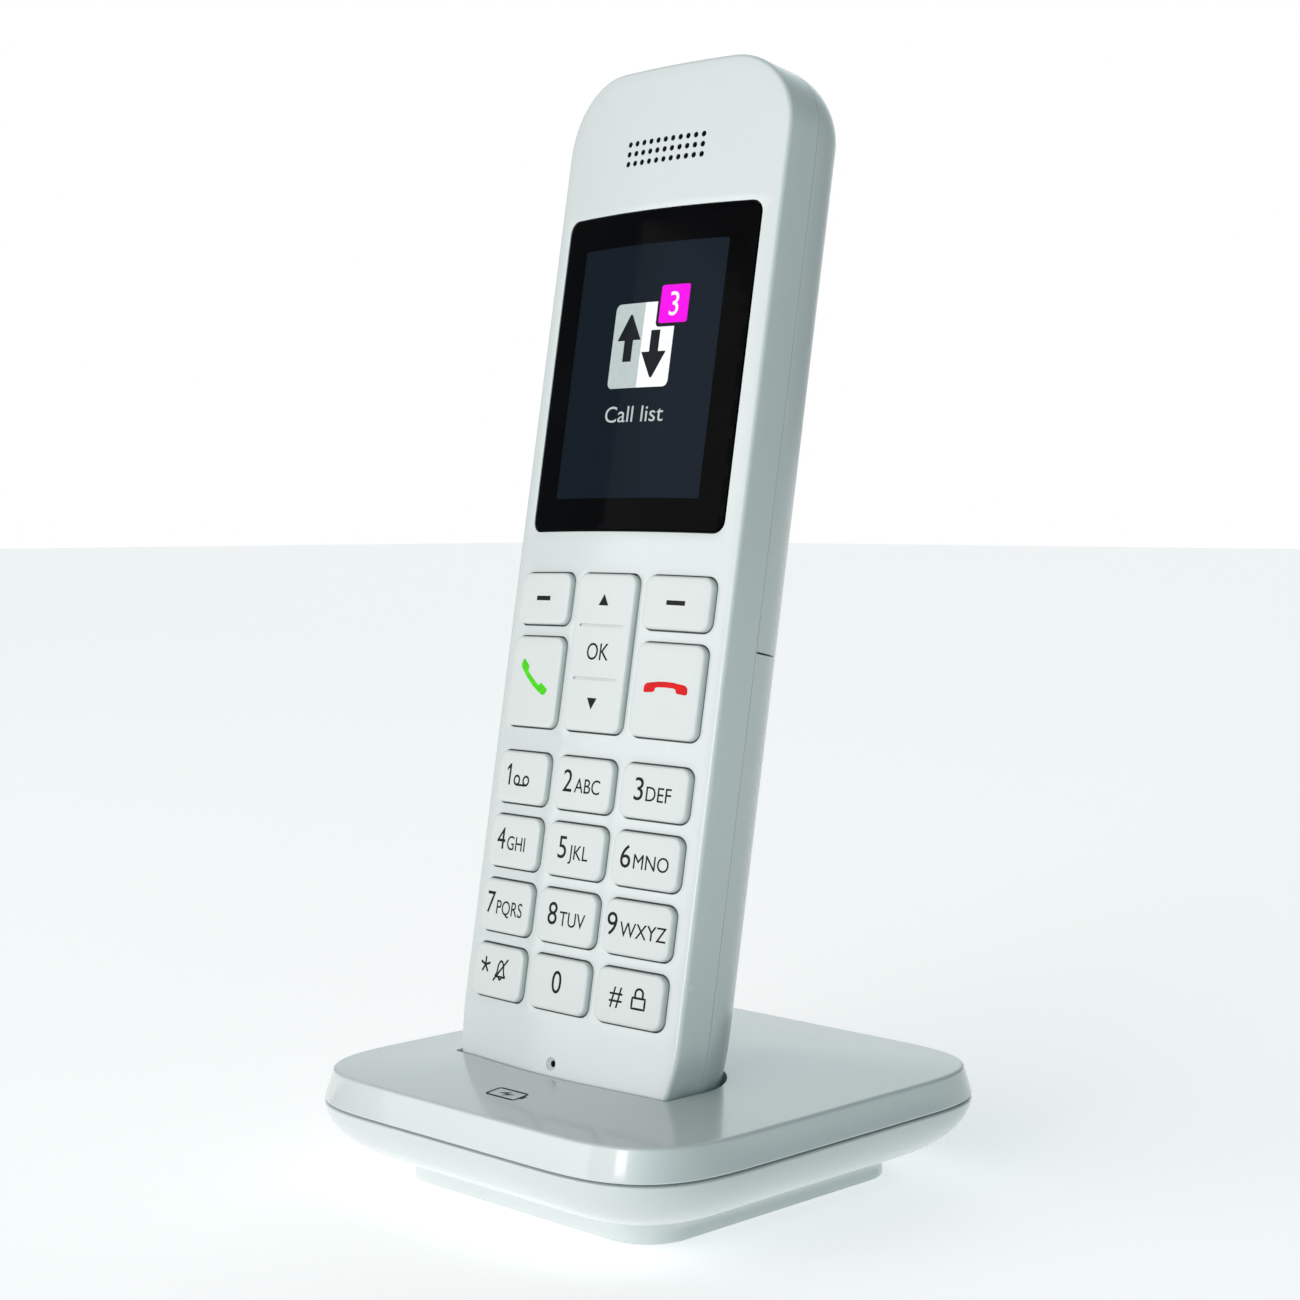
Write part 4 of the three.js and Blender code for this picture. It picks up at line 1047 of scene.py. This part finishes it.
legendDetails = {
    "digitHeight": 3.4, "digitStretch": 0.95, "letterHeight": 2.2, "letterStretch": 0.9, "letterGap": 0.6,
    "lift": 0.02, "line": 0.3, "raise": 0.35, "symbolSize": 1.13, "okHeight": 2.6, "okStretch": 0.87,
    "receiver": (0.96, 1.05), "triangle": 1.05,
    "talkIcon": (8.8, 145), "endIcon": (8.6, 0),  # length and turn in degrees
}
legendShifts = {"key_1": -0.8, "key_4": -0.55, "key_7": -0.15, "key_star": -0.8, "key_8": 0.3}
keyLegends = {
    "key_1": ("1", ""), "key_2": ("2", "ABC"), "key_3": ("3", "DEF"), "key_4": ("4", "GHI"),
    "key_5": ("5", "JKL"), "key_6": ("6", "MNO"), "key_7": ("7", "PQRS"), "key_8": ("8", "TUV"),
    "key_9": ("9", "WXYZ"), "key_0": ("0", ""), "key_star": ("*", ""), "key_hash": ("#", ""),
}


def strokeShape(path, width, closed=False):
    # A line of even width in x and z as a closed slab: each point is moved half the width
    # to both sides along its own normal, and both sides get a front and a back.
    path = np.asarray(path, float)
    ahead, behind = np.roll(path, -1, 0), np.roll(path, 1, 0)
    if not closed:
        ahead[-1], behind[0] = path[-1], path[0]
    way = ahead - behind
    way /= np.linalg.norm(way, axis=1)[:, None]
    normal = np.stack([-way[:, 1], way[:, 0]], 1) * width / 2
    corners = [path + normal, path - normal]
    flat = np.concatenate([corners[0], corners[1], corners[0], corners[1]])
    n = len(path)
    front = np.arange(4 * n) < 2 * n
    i = np.arange(n if closed else n - 1)
    j = (i + 1) % n
    faces = np.concatenate([
        np.stack([i, j, n + j, n + i], 1), np.stack([2 * n + i, 2 * n + j, 3 * n + j, 3 * n + i], 1),
        np.stack([i, j, 2 * n + j, 2 * n + i], 1), np.stack([n + i, n + j, 3 * n + j, 3 * n + i], 1),
    ]).tolist()
    if not closed:
        faces += [[0, n, 3 * n, 2 * n], [n - 1, 2 * n - 1, 4 * n - 1, 3 * n - 1]]
    return flat, front, faces


def filledShape(outline):
    # a filled outline as a closed slab
    i = np.arange(len(outline))
    j = (i + 1) % len(outline)
    made = delaunay_2d_cdt([Vector(p) for p in outline], np.stack([i, j], 1).tolist(), [], 1, 1e-7)
    flat = np.array([tuple(p) for p in made[0]])
    n = len(flat)
    faces = [list(face) for face in made[2]] + [[n + k for k in face] for face in made[2]]
    faces += np.stack([i, j, n + j, n + i], 1).tolist()
    return np.concatenate([flat, flat]), np.arange(2 * n) < n, faces


def together(*arts):
    flats, fronts, faces, start = [], [], [], 0
    for flat, front, artFaces in arts:
        flats.append(flat)
        fronts.append(front)
        faces += [[start + k for k in face] for face in artFaces]
        start += len(flat)
    return np.concatenate(flats), np.concatenate(fronts), faces


def arc(centre, radius, start, end, steps=20):
    # points on a circle between two angles in degrees
    turn = np.radians(np.linspace(start, end, steps))
    return np.stack([centre[0] + radius * np.cos(turn), centre[1] + radius * np.sin(turn)], 1)


def symbolOf(name):
    # line drawings in millimetres, from the left foot of the sign
    line = legendDetails["line"]
    if name == "tape":  # voicemail: two reels on a line
        reels = [strokeShape(arc((x, 0.75), 0.62, 0, 342, 18), line, True) for x in (-1.05, 1.05)]
        return together(*reels, strokeShape([[-1.05, 0.1], [1.05, 0.1]], line))
    if name == "bell":  # a bell with a stroke through it
        body = [[-1.15, 0.55], [-0.8, 0.95], [-0.68, 1.5], [-0.6, 2.1], [-0.3, 2.6], [0, 2.75],
                [0.3, 2.6], [0.6, 2.1], [0.68, 1.5], [0.8, 0.95], [1.15, 0.55]]
        clapper = arc((0, 0.5), 0.32, 180, 360, 8)
        return together(
            strokeShape(body, line), strokeShape([[-1.2, 0.55], [1.2, 0.55]], line),
            strokeShape(clapper, line), strokeShape([[-1.5, -0.1], [1.5, 3.1]], line),
        )
    shackle = np.concatenate([[[-0.62, 1.4]], arc((0, 2.05), 0.62, 180, 0, 12), [[0.62, 1.4]]])
    case = [[-1.05, 0.05], [1.05, 0.05], [1.05, 1.45], [-1.05, 1.45]]
    corners = np.concatenate([np.linspace(case[k], case[(k + 1) % 4], 6)[:-1] for k in range(4)])
    return together(strokeShape(shackle, line), strokeShape(corners, line, True))


def legendPiece(name, art, body, material):
    shape = printed(art, keyFace(body)[0], -keyDetails["rise"], legendDetails["lift"])
    inlaid(name, shape, material, body)


def starArt(radius, width):
    # five strokes from one middle, 72 degrees apart
    strokes = []
    for k in range(5):
        a = math.radians(90 + 72 * k)
        strokes.append(strokeShape([[0, 0], [radius * math.cos(a), radius * math.sin(a)]], width))
    return together(*strokes)


def digitOne():
    # a stem with a sloping flag
    tall, left, right = legendDetails["digitHeight"], 0.62, 1.04
    return filledShape([
        [left, 0], [right, 0], [right, tall], [0.72, tall], [0, tall - 0.7], [0, tall - 1.15],
        [left, tall - 0.65],
    ])


symbols = {"key_1": ("tape", 0.9), "key_star": ("bell", 1.0), "key_hash": ("lock", 1.7)}  # and its gap
d = legendDetails
for name, (digit, letters) in keyLegends.items():
    if digit == "*":
        big = moved(starArt(1.3, 0.38), 1.3, 2.1)
    elif digit == "1":
        big = digitOne()
    else:
        big = textShape(digit, d["digitHeight"] * (0.9 if digit == "#" else 1), d["digitStretch"])
    big = moved(big, -big[0][:, 0].min(), 0)
    parts, width = [big], big[0][:, 0].max()
    if letters:
        small = textShape(letters, d["letterHeight"], d["letterStretch"])
        parts.append(moved(small, width + d["letterGap"] - small[0][:, 0].min(), 0))
    if name in symbols:
        kind, gap = symbols[name]
        flat, *rest = symbolOf(kind)
        flat = flat * d["symbolSize"]
        parts.append(moved((flat, *rest), width + gap - flat[:, 0].min(), 0))
    art = moved(centred(together(*parts), 0), legendShifts.get(name, 0), d["raise"] - d["digitHeight"] / 2)
    legendPiece("legend" + name.replace("key_", "").capitalize(), art, name, legendInk)


def triangleArt(size, up):
    # a filled triangle that points up or down
    way = size if up else -size
    return filledShape(np.array([[-way, -0.85 * way], [way, -0.85 * way], [0, 0.85 * way]]))


def handsetArt(length, angle):
    # A telephone receiver: a bent grip with two cups, as one outline turned by an angle.
    h = length / 2
    outline = legendDetails["receiver"] * np.array([
        [-h, -0.62], [-h + 0.05, 0.15], [-h + 0.55, 0.55], [-0.35 * h, 0.83], [0, 0.88], [0.35 * h, 0.83],
        [h - 0.55, 0.55], [h - 0.05, 0.15], [h, -0.62], [h - 0.15, -0.8], [h - 0.45, -0.84],
        [0.58 * h, -0.74],
        [0.5 * h, -0.6], [0.46 * h, -0.12], [0.36 * h, 0.0], [0, 0.05], [-0.36 * h, 0.0], [-0.46 * h, -0.12],
        [-0.5 * h, -0.6], [-0.58 * h, -0.74], [-h + 0.45, -0.84], [-h + 0.15, -0.8],
    ])[::-1]
    a = math.radians(angle)
    turned = outline @ np.array([[math.cos(a), math.sin(a)], [-math.sin(a), math.cos(a)]])
    return filledShape(turned)


okArt = centred(textShape("OK", legendDetails["okHeight"], legendDetails["okStretch"]), -1.2)
upArt, downArt = (triangleArt(legendDetails["triangle"], up) for up in (True, False))
navArt = together(moved(upArt, 0, 8.2), okArt, moved(downArt, 0, -8.0))
legendPiece("legendNav", navArt, "nav_key", legendInk)
softBar = strokeShape([[-1.75, 0], [0, 0], [1.75, 0]], 0.72)
for side in ("left", "right"):
    legendPiece("legendSoft" + side.capitalize(), softBar, f"soft_key_{side}", legendInk)
legendPiece("legendTalk", moved(handsetArt(*legendDetails["talkIcon"]), -0.1, 0.5), "talk_key", greenInk)
legendPiece("legendEnd", moved(handsetArt(*legendDetails["endIcon"]), 0, 0.45), "end_key", redInk)
print("legends done")


def roundedBox(low, high, edge):
    # a block whose ends along z have rounded rims
    centre, half = (low + high) / 2, (high - low) / 2
    rings = []
    for inset, drop in roundEdge(edge, 3):
        x, y = half[:2] - inset
        outline = roundedOutline(x, -y, y, (edge, edge), (edge, edge), 2, 3) + centre[:2]
        rings.append(np.column_stack([outline, np.full(len(outline), low[2] + drop)]))
    top = [ring * [1, 1, -1] + [0, 0, low[2] + high[2]] for ring in rings[::-1]]
    return loft([*rings, *top], True, True)


def screwProfile(radius, length):
    # A pan head, a rolled thread and a blunt point, as radius and depth from the head's face.
    head = [(0, 0), (radius * 0.6, 0.02), (radius * 0.88, 0.12), (radius, 0.4), (radius, 1.0), (1.1, 1.15)]
    thread = [(1.1 if k % 2 else 0.88, t) for k, t in enumerate(np.arange(1.5, length - 0.6, 0.25))]
    return [*head, *thread, (0.5, length - 0.3), (0, length)]


def screwPiece(name, cadName, place, body, box, axis, faceFirst):
    # the profile turned round its axis, with a cross recess cut into its face
    low, high = box
    centre = middleOf(box)
    index, other = (2, 1) if axis == "z" else (1, 2)
    radius = min((high - low)[[0, other]]) / 2
    start, sign = (low[index], 1) if faceFirst else (high[index], -1)
    profile = [(r, start + sign * h) for r, h in screwProfile(radius, high[index] - low[index])]
    base = centre.copy()
    base[index] = 0
    screw = pieceOf(name, turnedShape(profile, base, axis, 36), place, steelMetal)
    for arms in ((radius * 0.6, 0.3), (0.3, radius * 0.6)):
        reach = np.zeros(3)
        reach[[0, other]] = arms
        lowCut, highCut = centre - reach, centre + reach
        lowCut[index], highCut[index] = sorted((start - sign, start + sign * 0.7))
        carved(screw, tool(boxShape(lowCut, highCut), place))
    smoothed(screw, 35)
    settled(screw, body, cadName)


def titled(start, words):
    return start + "".join(word.capitalize() for word in words.split("_"))


for side in ("left", "right"):
    shape = roundedBox(*uprightBox(f"charge_pad_{side}"), 0.2)
    pad = pieceOf(titled("chargePad", side), shape, leaned, goldMetal)
    settled(pad, "handset", f"charge_pad_{side}")
    box = uprightBox(f"charge_pin_{side}")
    foot, top = box[0][2], box[1][2]
    dome = [(1.0, -0.6), (0.93, -0.36), (0.72, -0.14), (0.4, -0.03), (0, 0)]
    profile = [(1.0, foot), *((radius, top + h) for radius, h in dome)]
    shape = turnedShape(profile, middleOf(box) * [1, 1, 0])
    pin = pieceOf(titled("chargePin", side), shape, leaned, goldMetal)
    settled(pin, "cradle", f"charge_pin_{side}")

for side in ("left", "right"):
    screwName = f"handset_screw_{side}"
    screwPiece(titled("handsetScrew", side), screwName, leaned, "handset", uprightBox(screwName), "y", False)

corners = [f"{a}_{b}" for a in ("front", "back") for b in ("left", "right")]
for corner in corners:
    screwName, footName = f"cradle_screw_{corner}", f"rubber_foot_{corner}"
    screwPiece(titled("cradleScrew", corner), screwName, standing, "cradle", cradleBox(screwName), "z", True)
    low, high = cradleBox(footName)
    r, h = (high[0] - low[0]) / 2, high[2]
    profile = [(0, 0.12), (r - 1.6, 0.12), (r - 1.35, 0), (r - 0.65, 0), (r - 0.42, 0.12), (r - 0.3, 0.4)]
    profile += [(r, h - 0.3), (r - 0.1, h), (0, h)]
    shape = turnedShape(profile, middleOf((low, high)) * [1, 1, 0], "z", 48)
    settled(pieceOf(titled("rubberFoot", corner), shape, standing, greyRubber), "cradle", footName)
print("small hardware done")

cradleForm = {
    "corner": 24.7, "power": 3.26, "steps": 20, "edgeHeight": 18.12, "crownHeight": 2.6, "edgeRounding": 0.6,
    "bandSlope": (0.87, 1.49), "footCorner": 7.9, "footTop": 1.6, "footReach": 8.5, "wall": 1.8,
    "floorTop": 3.0, "bowlLift": 1.26, "lipInset": 3.3, "lipWall": 1.2, "lipDepth": 2.2,
    "seamRounding": 0.25, "seamGap": 0.3, "pocketWall": 1.4, "dockGap": 0.8, "pinHole": 1.4,
    "bayHalf": 10.0, "bayTop": 12.7, "bayGap": 0.3,
}
bottomLow, bottomHigh = cradleBox("cradle_bottom")
seamHalf, seamHeight, footHeight = bottomHigh[:2], bottomHigh[2], bottomLow[2]
footHalf = middleOf(cradleBox("rubber_foot_back_right"))[:2] + cradleForm["footReach"]
edgeHalf = seamHalf - cradleForm["bandSlope"]


def cradleOutline(half, corner, power, inset):
    # a rectangle round the origin with superellipse corners, moved in by inset
    both = (corner - inset, corner - inset)
    steps = cradleForm["steps"]
    return roundedOutline(half[0] - inset, inset - half[1], half[1] - inset, both, both, power, steps, 10, 10)


def seamOutline(inset):
    # where the two shells meet
    return cradleOutline(seamHalf, cradleForm["corner"], cradleForm["power"], inset)


def edgeOutline(inset):
    # the top's edge, which the slanting band leads up to
    corner = cradleForm["corner"] - cradleForm["bandSlope"][1]
    return cradleOutline(edgeHalf, corner, cradleForm["power"], inset)


def footOutline(inset):
    # the narrow foot under the bowl
    return cradleOutline(footHalf, cradleForm["footCorner"], 2, min(inset, cradleForm["footCorner"] - 0.1))


def level(outline, height):
    # an outline in x and y at one height
    return np.column_stack([outline, np.full(len(outline), float(height))])


def crownRings(inset, drop):
    # Nested outlines at shares of the edge's size, each raised by the crown: 1 - share squared.
    c = cradleForm
    base = edgeOutline(inset + c["edgeRounding"])
    shares = np.linspace(1, 0.04, 22)
    return [level(base * s, c["edgeHeight"] + c["crownHeight"] * (1 - s * s) - drop) for s in shares]


def bandRings(inset, drop):
    # the rounded edge between the slanting band and the top
    c = cradleForm
    steps = roundEdge(c["edgeRounding"], 6)[::-1]
    return [level(edgeOutline(inset + a), c["edgeHeight"] - b - drop) for a, b in steps]


def topSkinShape():
    # The top's outer skin from the seam over the band to the crown, and its inside with the
    # lip that reaches down into the bottom shell.
    c = cradleForm
    seat, lipEnd, r = seamHeight + c["seamGap"], seamHeight - c["lipDepth"], c["seamRounding"]
    outer = [level(seamOutline(a), seat + r - b) for a, b in [(r, r), (0.3 * r, 0.7 * r), (0, 0)]]
    outer += bandRings(0, 0) + crownRings(0, 0)[1:]
    inset, inner = c["lipInset"], c["lipInset"] + c["lipWall"]
    under = [(inset, seat), (inset, lipEnd), (inner, lipEnd), (inner, seat + 1.4)]
    inside = [level(seamOutline(a), height) for a, height in under] + crownRings(inner, c["wall"])
    return joined(loft(outer, closeLast=True), loft([outer[0], *inside], closeLast=True))


def underSkin():
    # everything below the top's skin, which the pocket's wall is kept within
    return loft([level(edgeOutline(1), -2)] + crownRings(0.9, 0.9), True, True)


def bayBox(front, bottom, gap=0.0):
    c = cradleForm
    return boxShape((-c["bayHalf"] - gap, front, bottom), (c["bayHalf"] + gap, 60, c["bayTop"] + gap))


inletBox = cradleBox("power_inlet")
bayFront = inletBox[1][1] + cradleForm["bayGap"]
cradleTop = pieceOf("cradleTop", topSkinShape(), standing, cradleShell)
carved(cradleTop, tool(bayBox(bayFront, -5, cradleForm["bayGap"]), standing))
pocketWall = tool(handsetBody(cradleForm["dockGap"] + cradleForm["pocketWall"]), leaned)
carved(pocketWall, tool(underSkin(), standing), "INTERSECT")
carved(cradleTop, pocketWall, "UNION")
carved(cradleTop, tool(handsetBody(cradleForm["dockGap"]), leaned))
for side in ("left", "right"):
    hole = [(cradleForm["pinHole"], -6), (cradleForm["pinHole"], 0.5)]
    centre = middleOf(uprightBox(f"charge_pin_{side}")) * [1, 1, 0]
    carved(cradleTop, tool(turnedShape(hole, centre), leaned))
smoothed(cradleTop)
settled(cradleTop, "cradle", "cradle_top")

markDetails = {
    "centre": (1.5, -31.8), "case": (3.1, 1.5), "corner": 0.5, "line": 0.42, "knob": 0.6, "knobGap": 0.45,
    "lift": 0.02, "sink": 0.05,
    "bolt": [[-1.5, -0.25], [0.1, -0.1], [-0.25, -0.95], [1.5, 0.25], [-0.1, 0.1], [0.25, 0.95]],
}


def markArt():
    # a small battery with a bolt in it
    d = markDetails
    case = roundRect((0, 0), d["case"], d["corner"], 4, 4, 2)
    x, knob = d["case"][0] + d["knobGap"], d["knob"]
    return together(
        strokeShape(case, d["line"], True), filledShape(np.array(d["bolt"])),
        strokeShape([[x, -knob], [x, 0], [x, knob]], d["knobGap"]),
    )


flat, front, faces = markArt()
x, y = (flat + markDetails["centre"]).T
share = np.abs(y) / (edgeHalf[1] - cradleForm["edgeRounding"])
height = cradleForm["edgeHeight"] + cradleForm["crownHeight"] * (1 - share ** 2)
height += np.where(front, markDetails["lift"], -markDetails["sink"])
mark = pieceOf("chargeMark", (np.stack([x, y, height], 1), faces), standing, markInk)
settled(mark, "cradle")


def bezier(points, count):
    # a cubic curve: (1-t)^3 p0 + 3 (1-t)^2 t p1 + 3 (1-t) t^2 p2 + t^3 p3
    t = np.linspace(0, 1, count)[:, None]
    p = np.asarray(points, float)
    return (1 - t) ** 3 * p[0] + 3 * (1 - t) ** 2 * t * p[1] + 3 * (1 - t) * t * t * p[2] + t ** 3 * p[3]


def bowlRings(inset, lift, floor, bevel):
    # From the seam inwards: each ring lies between the seam's outline and the foot's, by the
    # share that the underside's curve has at that height.
    s = seamHeight
    lip = bezier([(0, s), (0.02, 0.72 * s), (0.3, 0.455 * s), (0.72, 0.343 * s)], 26)
    flick = bezier([(0.72, 0.343 * s), (0.9, 0.289 * s), (1, 0.247 * s), (1, cradleForm["footTop"])], 12)[1:]
    path = np.concatenate([lip, flick])
    wide, narrow = seamOutline(inset), footOutline(inset)
    path = path[path[:, 1] + lift > floor + 0.2]
    rings = [level(wide + (narrow - wide) * share, height + lift) for share, height in path]
    end = path[-1, 0]
    if bevel:
        rings[0] = level(seamOutline(inset + bevel), s + lift)
        rings.insert(1, level(seamOutline(inset + 0.3 * bevel), s + lift - 0.3 * bevel))
        rings.insert(2, level(seamOutline(inset), s + lift - bevel))
        foot = footOutline(inset)
        rings += [level(foot, floor + 0.25), level(footOutline(inset + 0.08), floor + 0.08)]
        rings += [level(footOutline(inset + a), floor) for a in (0.3, 0.6, 1.2)]
    else:
        rings.append(level(wide + (narrow - wide) * end, floor))
    return rings


def bowlShape():
    # an outer and an inner bowl, joined by the flat rim at the seam
    c = cradleForm
    outer = bowlRings(0, 0, footHeight, c["seamRounding"])
    inner = bowlRings(c["wall"], c["bowlLift"], c["floorTop"], 0)
    inner[0] = level(seamOutline(c["wall"]), seamHeight)
    return joined(loft(outer, closeLast=True), loft(inner, closeLast=True), loft([outer[0], inner[0]]))


def solidBowl():
    # the bowl as a solid that ends just inside its outer skin
    return loft(bowlRings(0.02, 0, footHeight + 0.02, 0), True, True)


def bayOpening():
    # the rounded mouth of the bay, carried straight back out of the shell
    outline = roundedOutline(8.5, -4, 11.2, (1, 1), (1.6, 1.6), 2, 6)
    return slabShape(outline, bayFront + 1.5, 70)


cradleBottom = pieceOf("cradleBottom", bowlShape(), standing, cradleShell)
bayBlock = tool(bayBox(bayFront, footHeight), standing)
carved(bayBlock, tool(solidBowl(), standing), "INTERSECT")
carved(cradleBottom, bayBlock, "UNION")
carved(cradleBottom, tool(bayOpening(), standing))
inletCentre = middleOf(inletBox) * [0, 0, 1]
mouth = [(2.7, bayFront - 3), (2.7, bayFront + 1.1), (3.1, bayFront + 1.6)]
carved(cradleBottom, tool(turnedShape(mouth, inletCentre, "y", 40), standing))
for corner in corners:
    for name, hole, sides in [
        (f"cradle_screw_{corner}", [(2.7, -5), (2.7, 1.9), (1.4, 1.91), (1.4, 5)], 32),
        (f"rubber_foot_{corner}", [(4.8, -5), (4.8, 2.0)], 48),
    ]:
        centre = middleOf(cradleBox(name)) * [1, 1, 0]
        carved(cradleBottom, tool(turnedShape(hole, centre, "z", sides), standing))
smoothed(cradleBottom)
settled(cradleBottom, "cradle", "cradle_bottom")

inletBack = inletBox[1][1]
inlet = pieceOf("powerInlet", boxShape(*inletBox), standing, darkPlasticAndShade)
rim = [(2.2, inletBack - 8), (2.2, inletBack - 0.3), (2.5, inletBack + 0.2)]
carved(inlet, tool(turnedShape(rim, inletCentre, "y", 40), standing))
settled(inlet, "cradle", "power_inlet")
smoothed(inlet)
contact = [(0.65, inletBack - 8.5), (0.65, inletBack - 1.5), (0.5, inletBack - 1.15), (0, inletBack - 1.0)]
inletPin = pieceOf("inletPin", turnedShape(contact, inletCentre, "y", 24), standing, nickelMetal)
settled(inletPin, "cradle")
print("cradle done")

finishes = {  # CAD nodes that keep their own mesh
    "display_panel": darkPlasticAndShade, "main_board": circuitBoard, "dome_sheet": domeFilm,
    "shield_can": steelMetal, "earpiece": darkPlasticAndShade, "loudspeaker": darkPlasticAndShade,
    "microphone": darkPlasticAndShade, "antenna": goldMetal, "battery_left": batterySleeve,
    "battery_right": batterySleeve, "battery_contact_left": nickelMetal,
    "battery_contact_right": nickelMetal, "battery_bridge": nickelMetal, "nav_plunger": darkPlasticAndShade,
    "cradle_weight": steelMetal, "cradle_board": circuitBoard,
}
for name, material in finishes.items():
    slots = frame["nodes"][name].data.materials
    slots.clear()
    slots.append(material)

stageLooks = {
    "floor": (0.96, 0.96, 0.96, 1), "floorGlow": 0.42, "floorReach": 6, "backdrop": (1, 1, 1, 1),
    "glows": {  # soft lights in the sky: azimuth and elevation in degrees, and colour by strength
        "front": (2, 14, (2.6, 2.3, 2.3)),
        "left": (310, 16, (0.5, 0.55, 0.5)),
        "right": (45, 14, (0.05, 0.5, 0.55)),
        "backLow": (222, 14, (0.85, 0.92, 0.94)),
        "backHigh": (205, 48, (0.75, 0.85, 0.85)),
    },
    "tightness": 7,
    "softboxes": {  # azimuth, elevation, distance, width, height, watts, colour
        "sideSoftbox": (-34, 14, 1.2, 0.66, 0.6, 1.9, (1.0, 1.0, 0.98)),
        "cornerSoftbox": (14, 8, 1.4, 0.3, 0.5, 3.0, (1.0, 0.98, 0.97)),
    },
}
floorMaterial = materialNamed("paleFloor", {
    "Roughness": 0.9, "Base Color": stageLooks["floor"], "Specular IOR Level": 0.2,
    "Emission Color": (1, 1, 1, 1), "Emission Strength": stageLooks["floorGlow"],
})[0]
mesh = bpy.data.meshes.new("floor")
reach = stageLooks["floorReach"]
corners = [(-reach, -reach, 0), (reach, -reach, 0), (reach, reach, 0), (-reach, reach, 0)]
mesh.from_pydata(corners, [], [(0, 1, 2, 3)])
mesh.materials.append(floorMaterial)
floor = bpy.data.objects.new("floor", mesh)
bpy.context.scene.collection.objects.link(floor)


def towards(azimuth, elevation):
    # the way out from the object: azimuth 0 is straight in front of it, 90 to its right
    a, e = math.radians(azimuth), math.radians(elevation)
    return Vector((math.sin(a) * math.cos(e), -math.cos(a) * math.cos(e), math.sin(e)))


def skyGlow(tree, direction, azimuth, elevation, color):
    # One soft light of the sky: color * exp(tightness * (cos(angle to its middle) - 1)).
    tight = stageLooks["tightness"]
    middle = towards(azimuth, elevation)
    dot = node(tree, "ShaderNodeVectorMath", {"operation": "DOT_PRODUCT"}, {1: middle})
    fade = node(tree, "ShaderNodeMath", {"operation": "MULTIPLY_ADD"}, {1: tight, 2: -tight})
    glow = node(tree, "ShaderNodeMath", {"operation": "EXPONENT"})
    light = node(tree, "ShaderNodeBackground", inputs={"Color": (*color, 1)})
    link(direction, dot.inputs[0])
    link(dot.outputs["Value"], fade.inputs[0])
    link(fade.outputs[0], glow.inputs[0])
    link(glow.outputs[0], light.inputs["Strength"])
    return light.outputs[0]


world = bpy.data.worlds.new("softStudio")
world.use_nodes = True
tree = world.node_tree
tree.nodes.clear()
direction = tree.nodes.new("ShaderNodeTexCoord").outputs["Generated"]
light = None
for azimuth, elevation, color in stageLooks["glows"].values():
    glow = skyGlow(tree, direction, azimuth, elevation, color)
    if light is not None:
        both = tree.nodes.new("ShaderNodeAddShader")
        link(light, both.inputs[0])
        link(glow, both.inputs[1])
        glow = both.outputs[0]
    light = glow
backdrop = tree.nodes.new("ShaderNodeBackground")
backdrop.inputs["Color"].default_value = stageLooks["backdrop"]
choice = tree.nodes.new("ShaderNodeMixShader")
link(tree.nodes.new("ShaderNodeLightPath").outputs["Is Camera Ray"], choice.inputs["Fac"])
link(light, choice.inputs[1])
link(backdrop.outputs[0], choice.inputs[2])
link(choice.outputs[0], tree.nodes.new("ShaderNodeOutputWorld").inputs["Surface"])
bpy.context.scene.world = world
bpy.context.scene.view_settings.view_transform = "Standard"

for name, (azimuth, elevation, distance, width, tall, watts, color) in stageLooks["softboxes"].items():
    away = towards(azimuth, elevation)
    lampData = bpy.data.lights.new(name, "AREA")
    lampData.shape = "RECTANGLE"
    lampData.size, lampData.size_y = width, tall
    lampData.energy, lampData.color = watts, color
    lamp = bpy.data.objects.new(name, lampData)
    lamp.location = away * distance
    lamp.rotation_mode = "QUATERNION"
    lamp.rotation_quaternion = away.to_track_quat("Z", "Y")
    bpy.context.scene.collection.objects.link(lamp)

view = {
    "azimuth": 44.55, "elevation": 3.36, "distance": 0.36645, "aim": (0.00005, 0.00005, 0.08392),
    "lens": 64.4, "sensor": 36, "nearest": 0.01,
}
cameraData = bpy.data.cameras.new("camera")
cameraData.lens = view["lens"]
cameraData.sensor_width = view["sensor"]
cameraData.clip_start = view["nearest"]
camera = bpy.data.objects.new("camera", cameraData)
bpy.context.scene.collection.objects.link(camera)
back = towards(view["azimuth"], view["elevation"])
camera.location = Vector(view["aim"]) + back * view["distance"]
camera.rotation_mode = "QUATERNION"
camera.rotation_quaternion = (-back).to_track_quat("-Z", "Y")
bpy.context.scene.camera = camera

print("stage set")
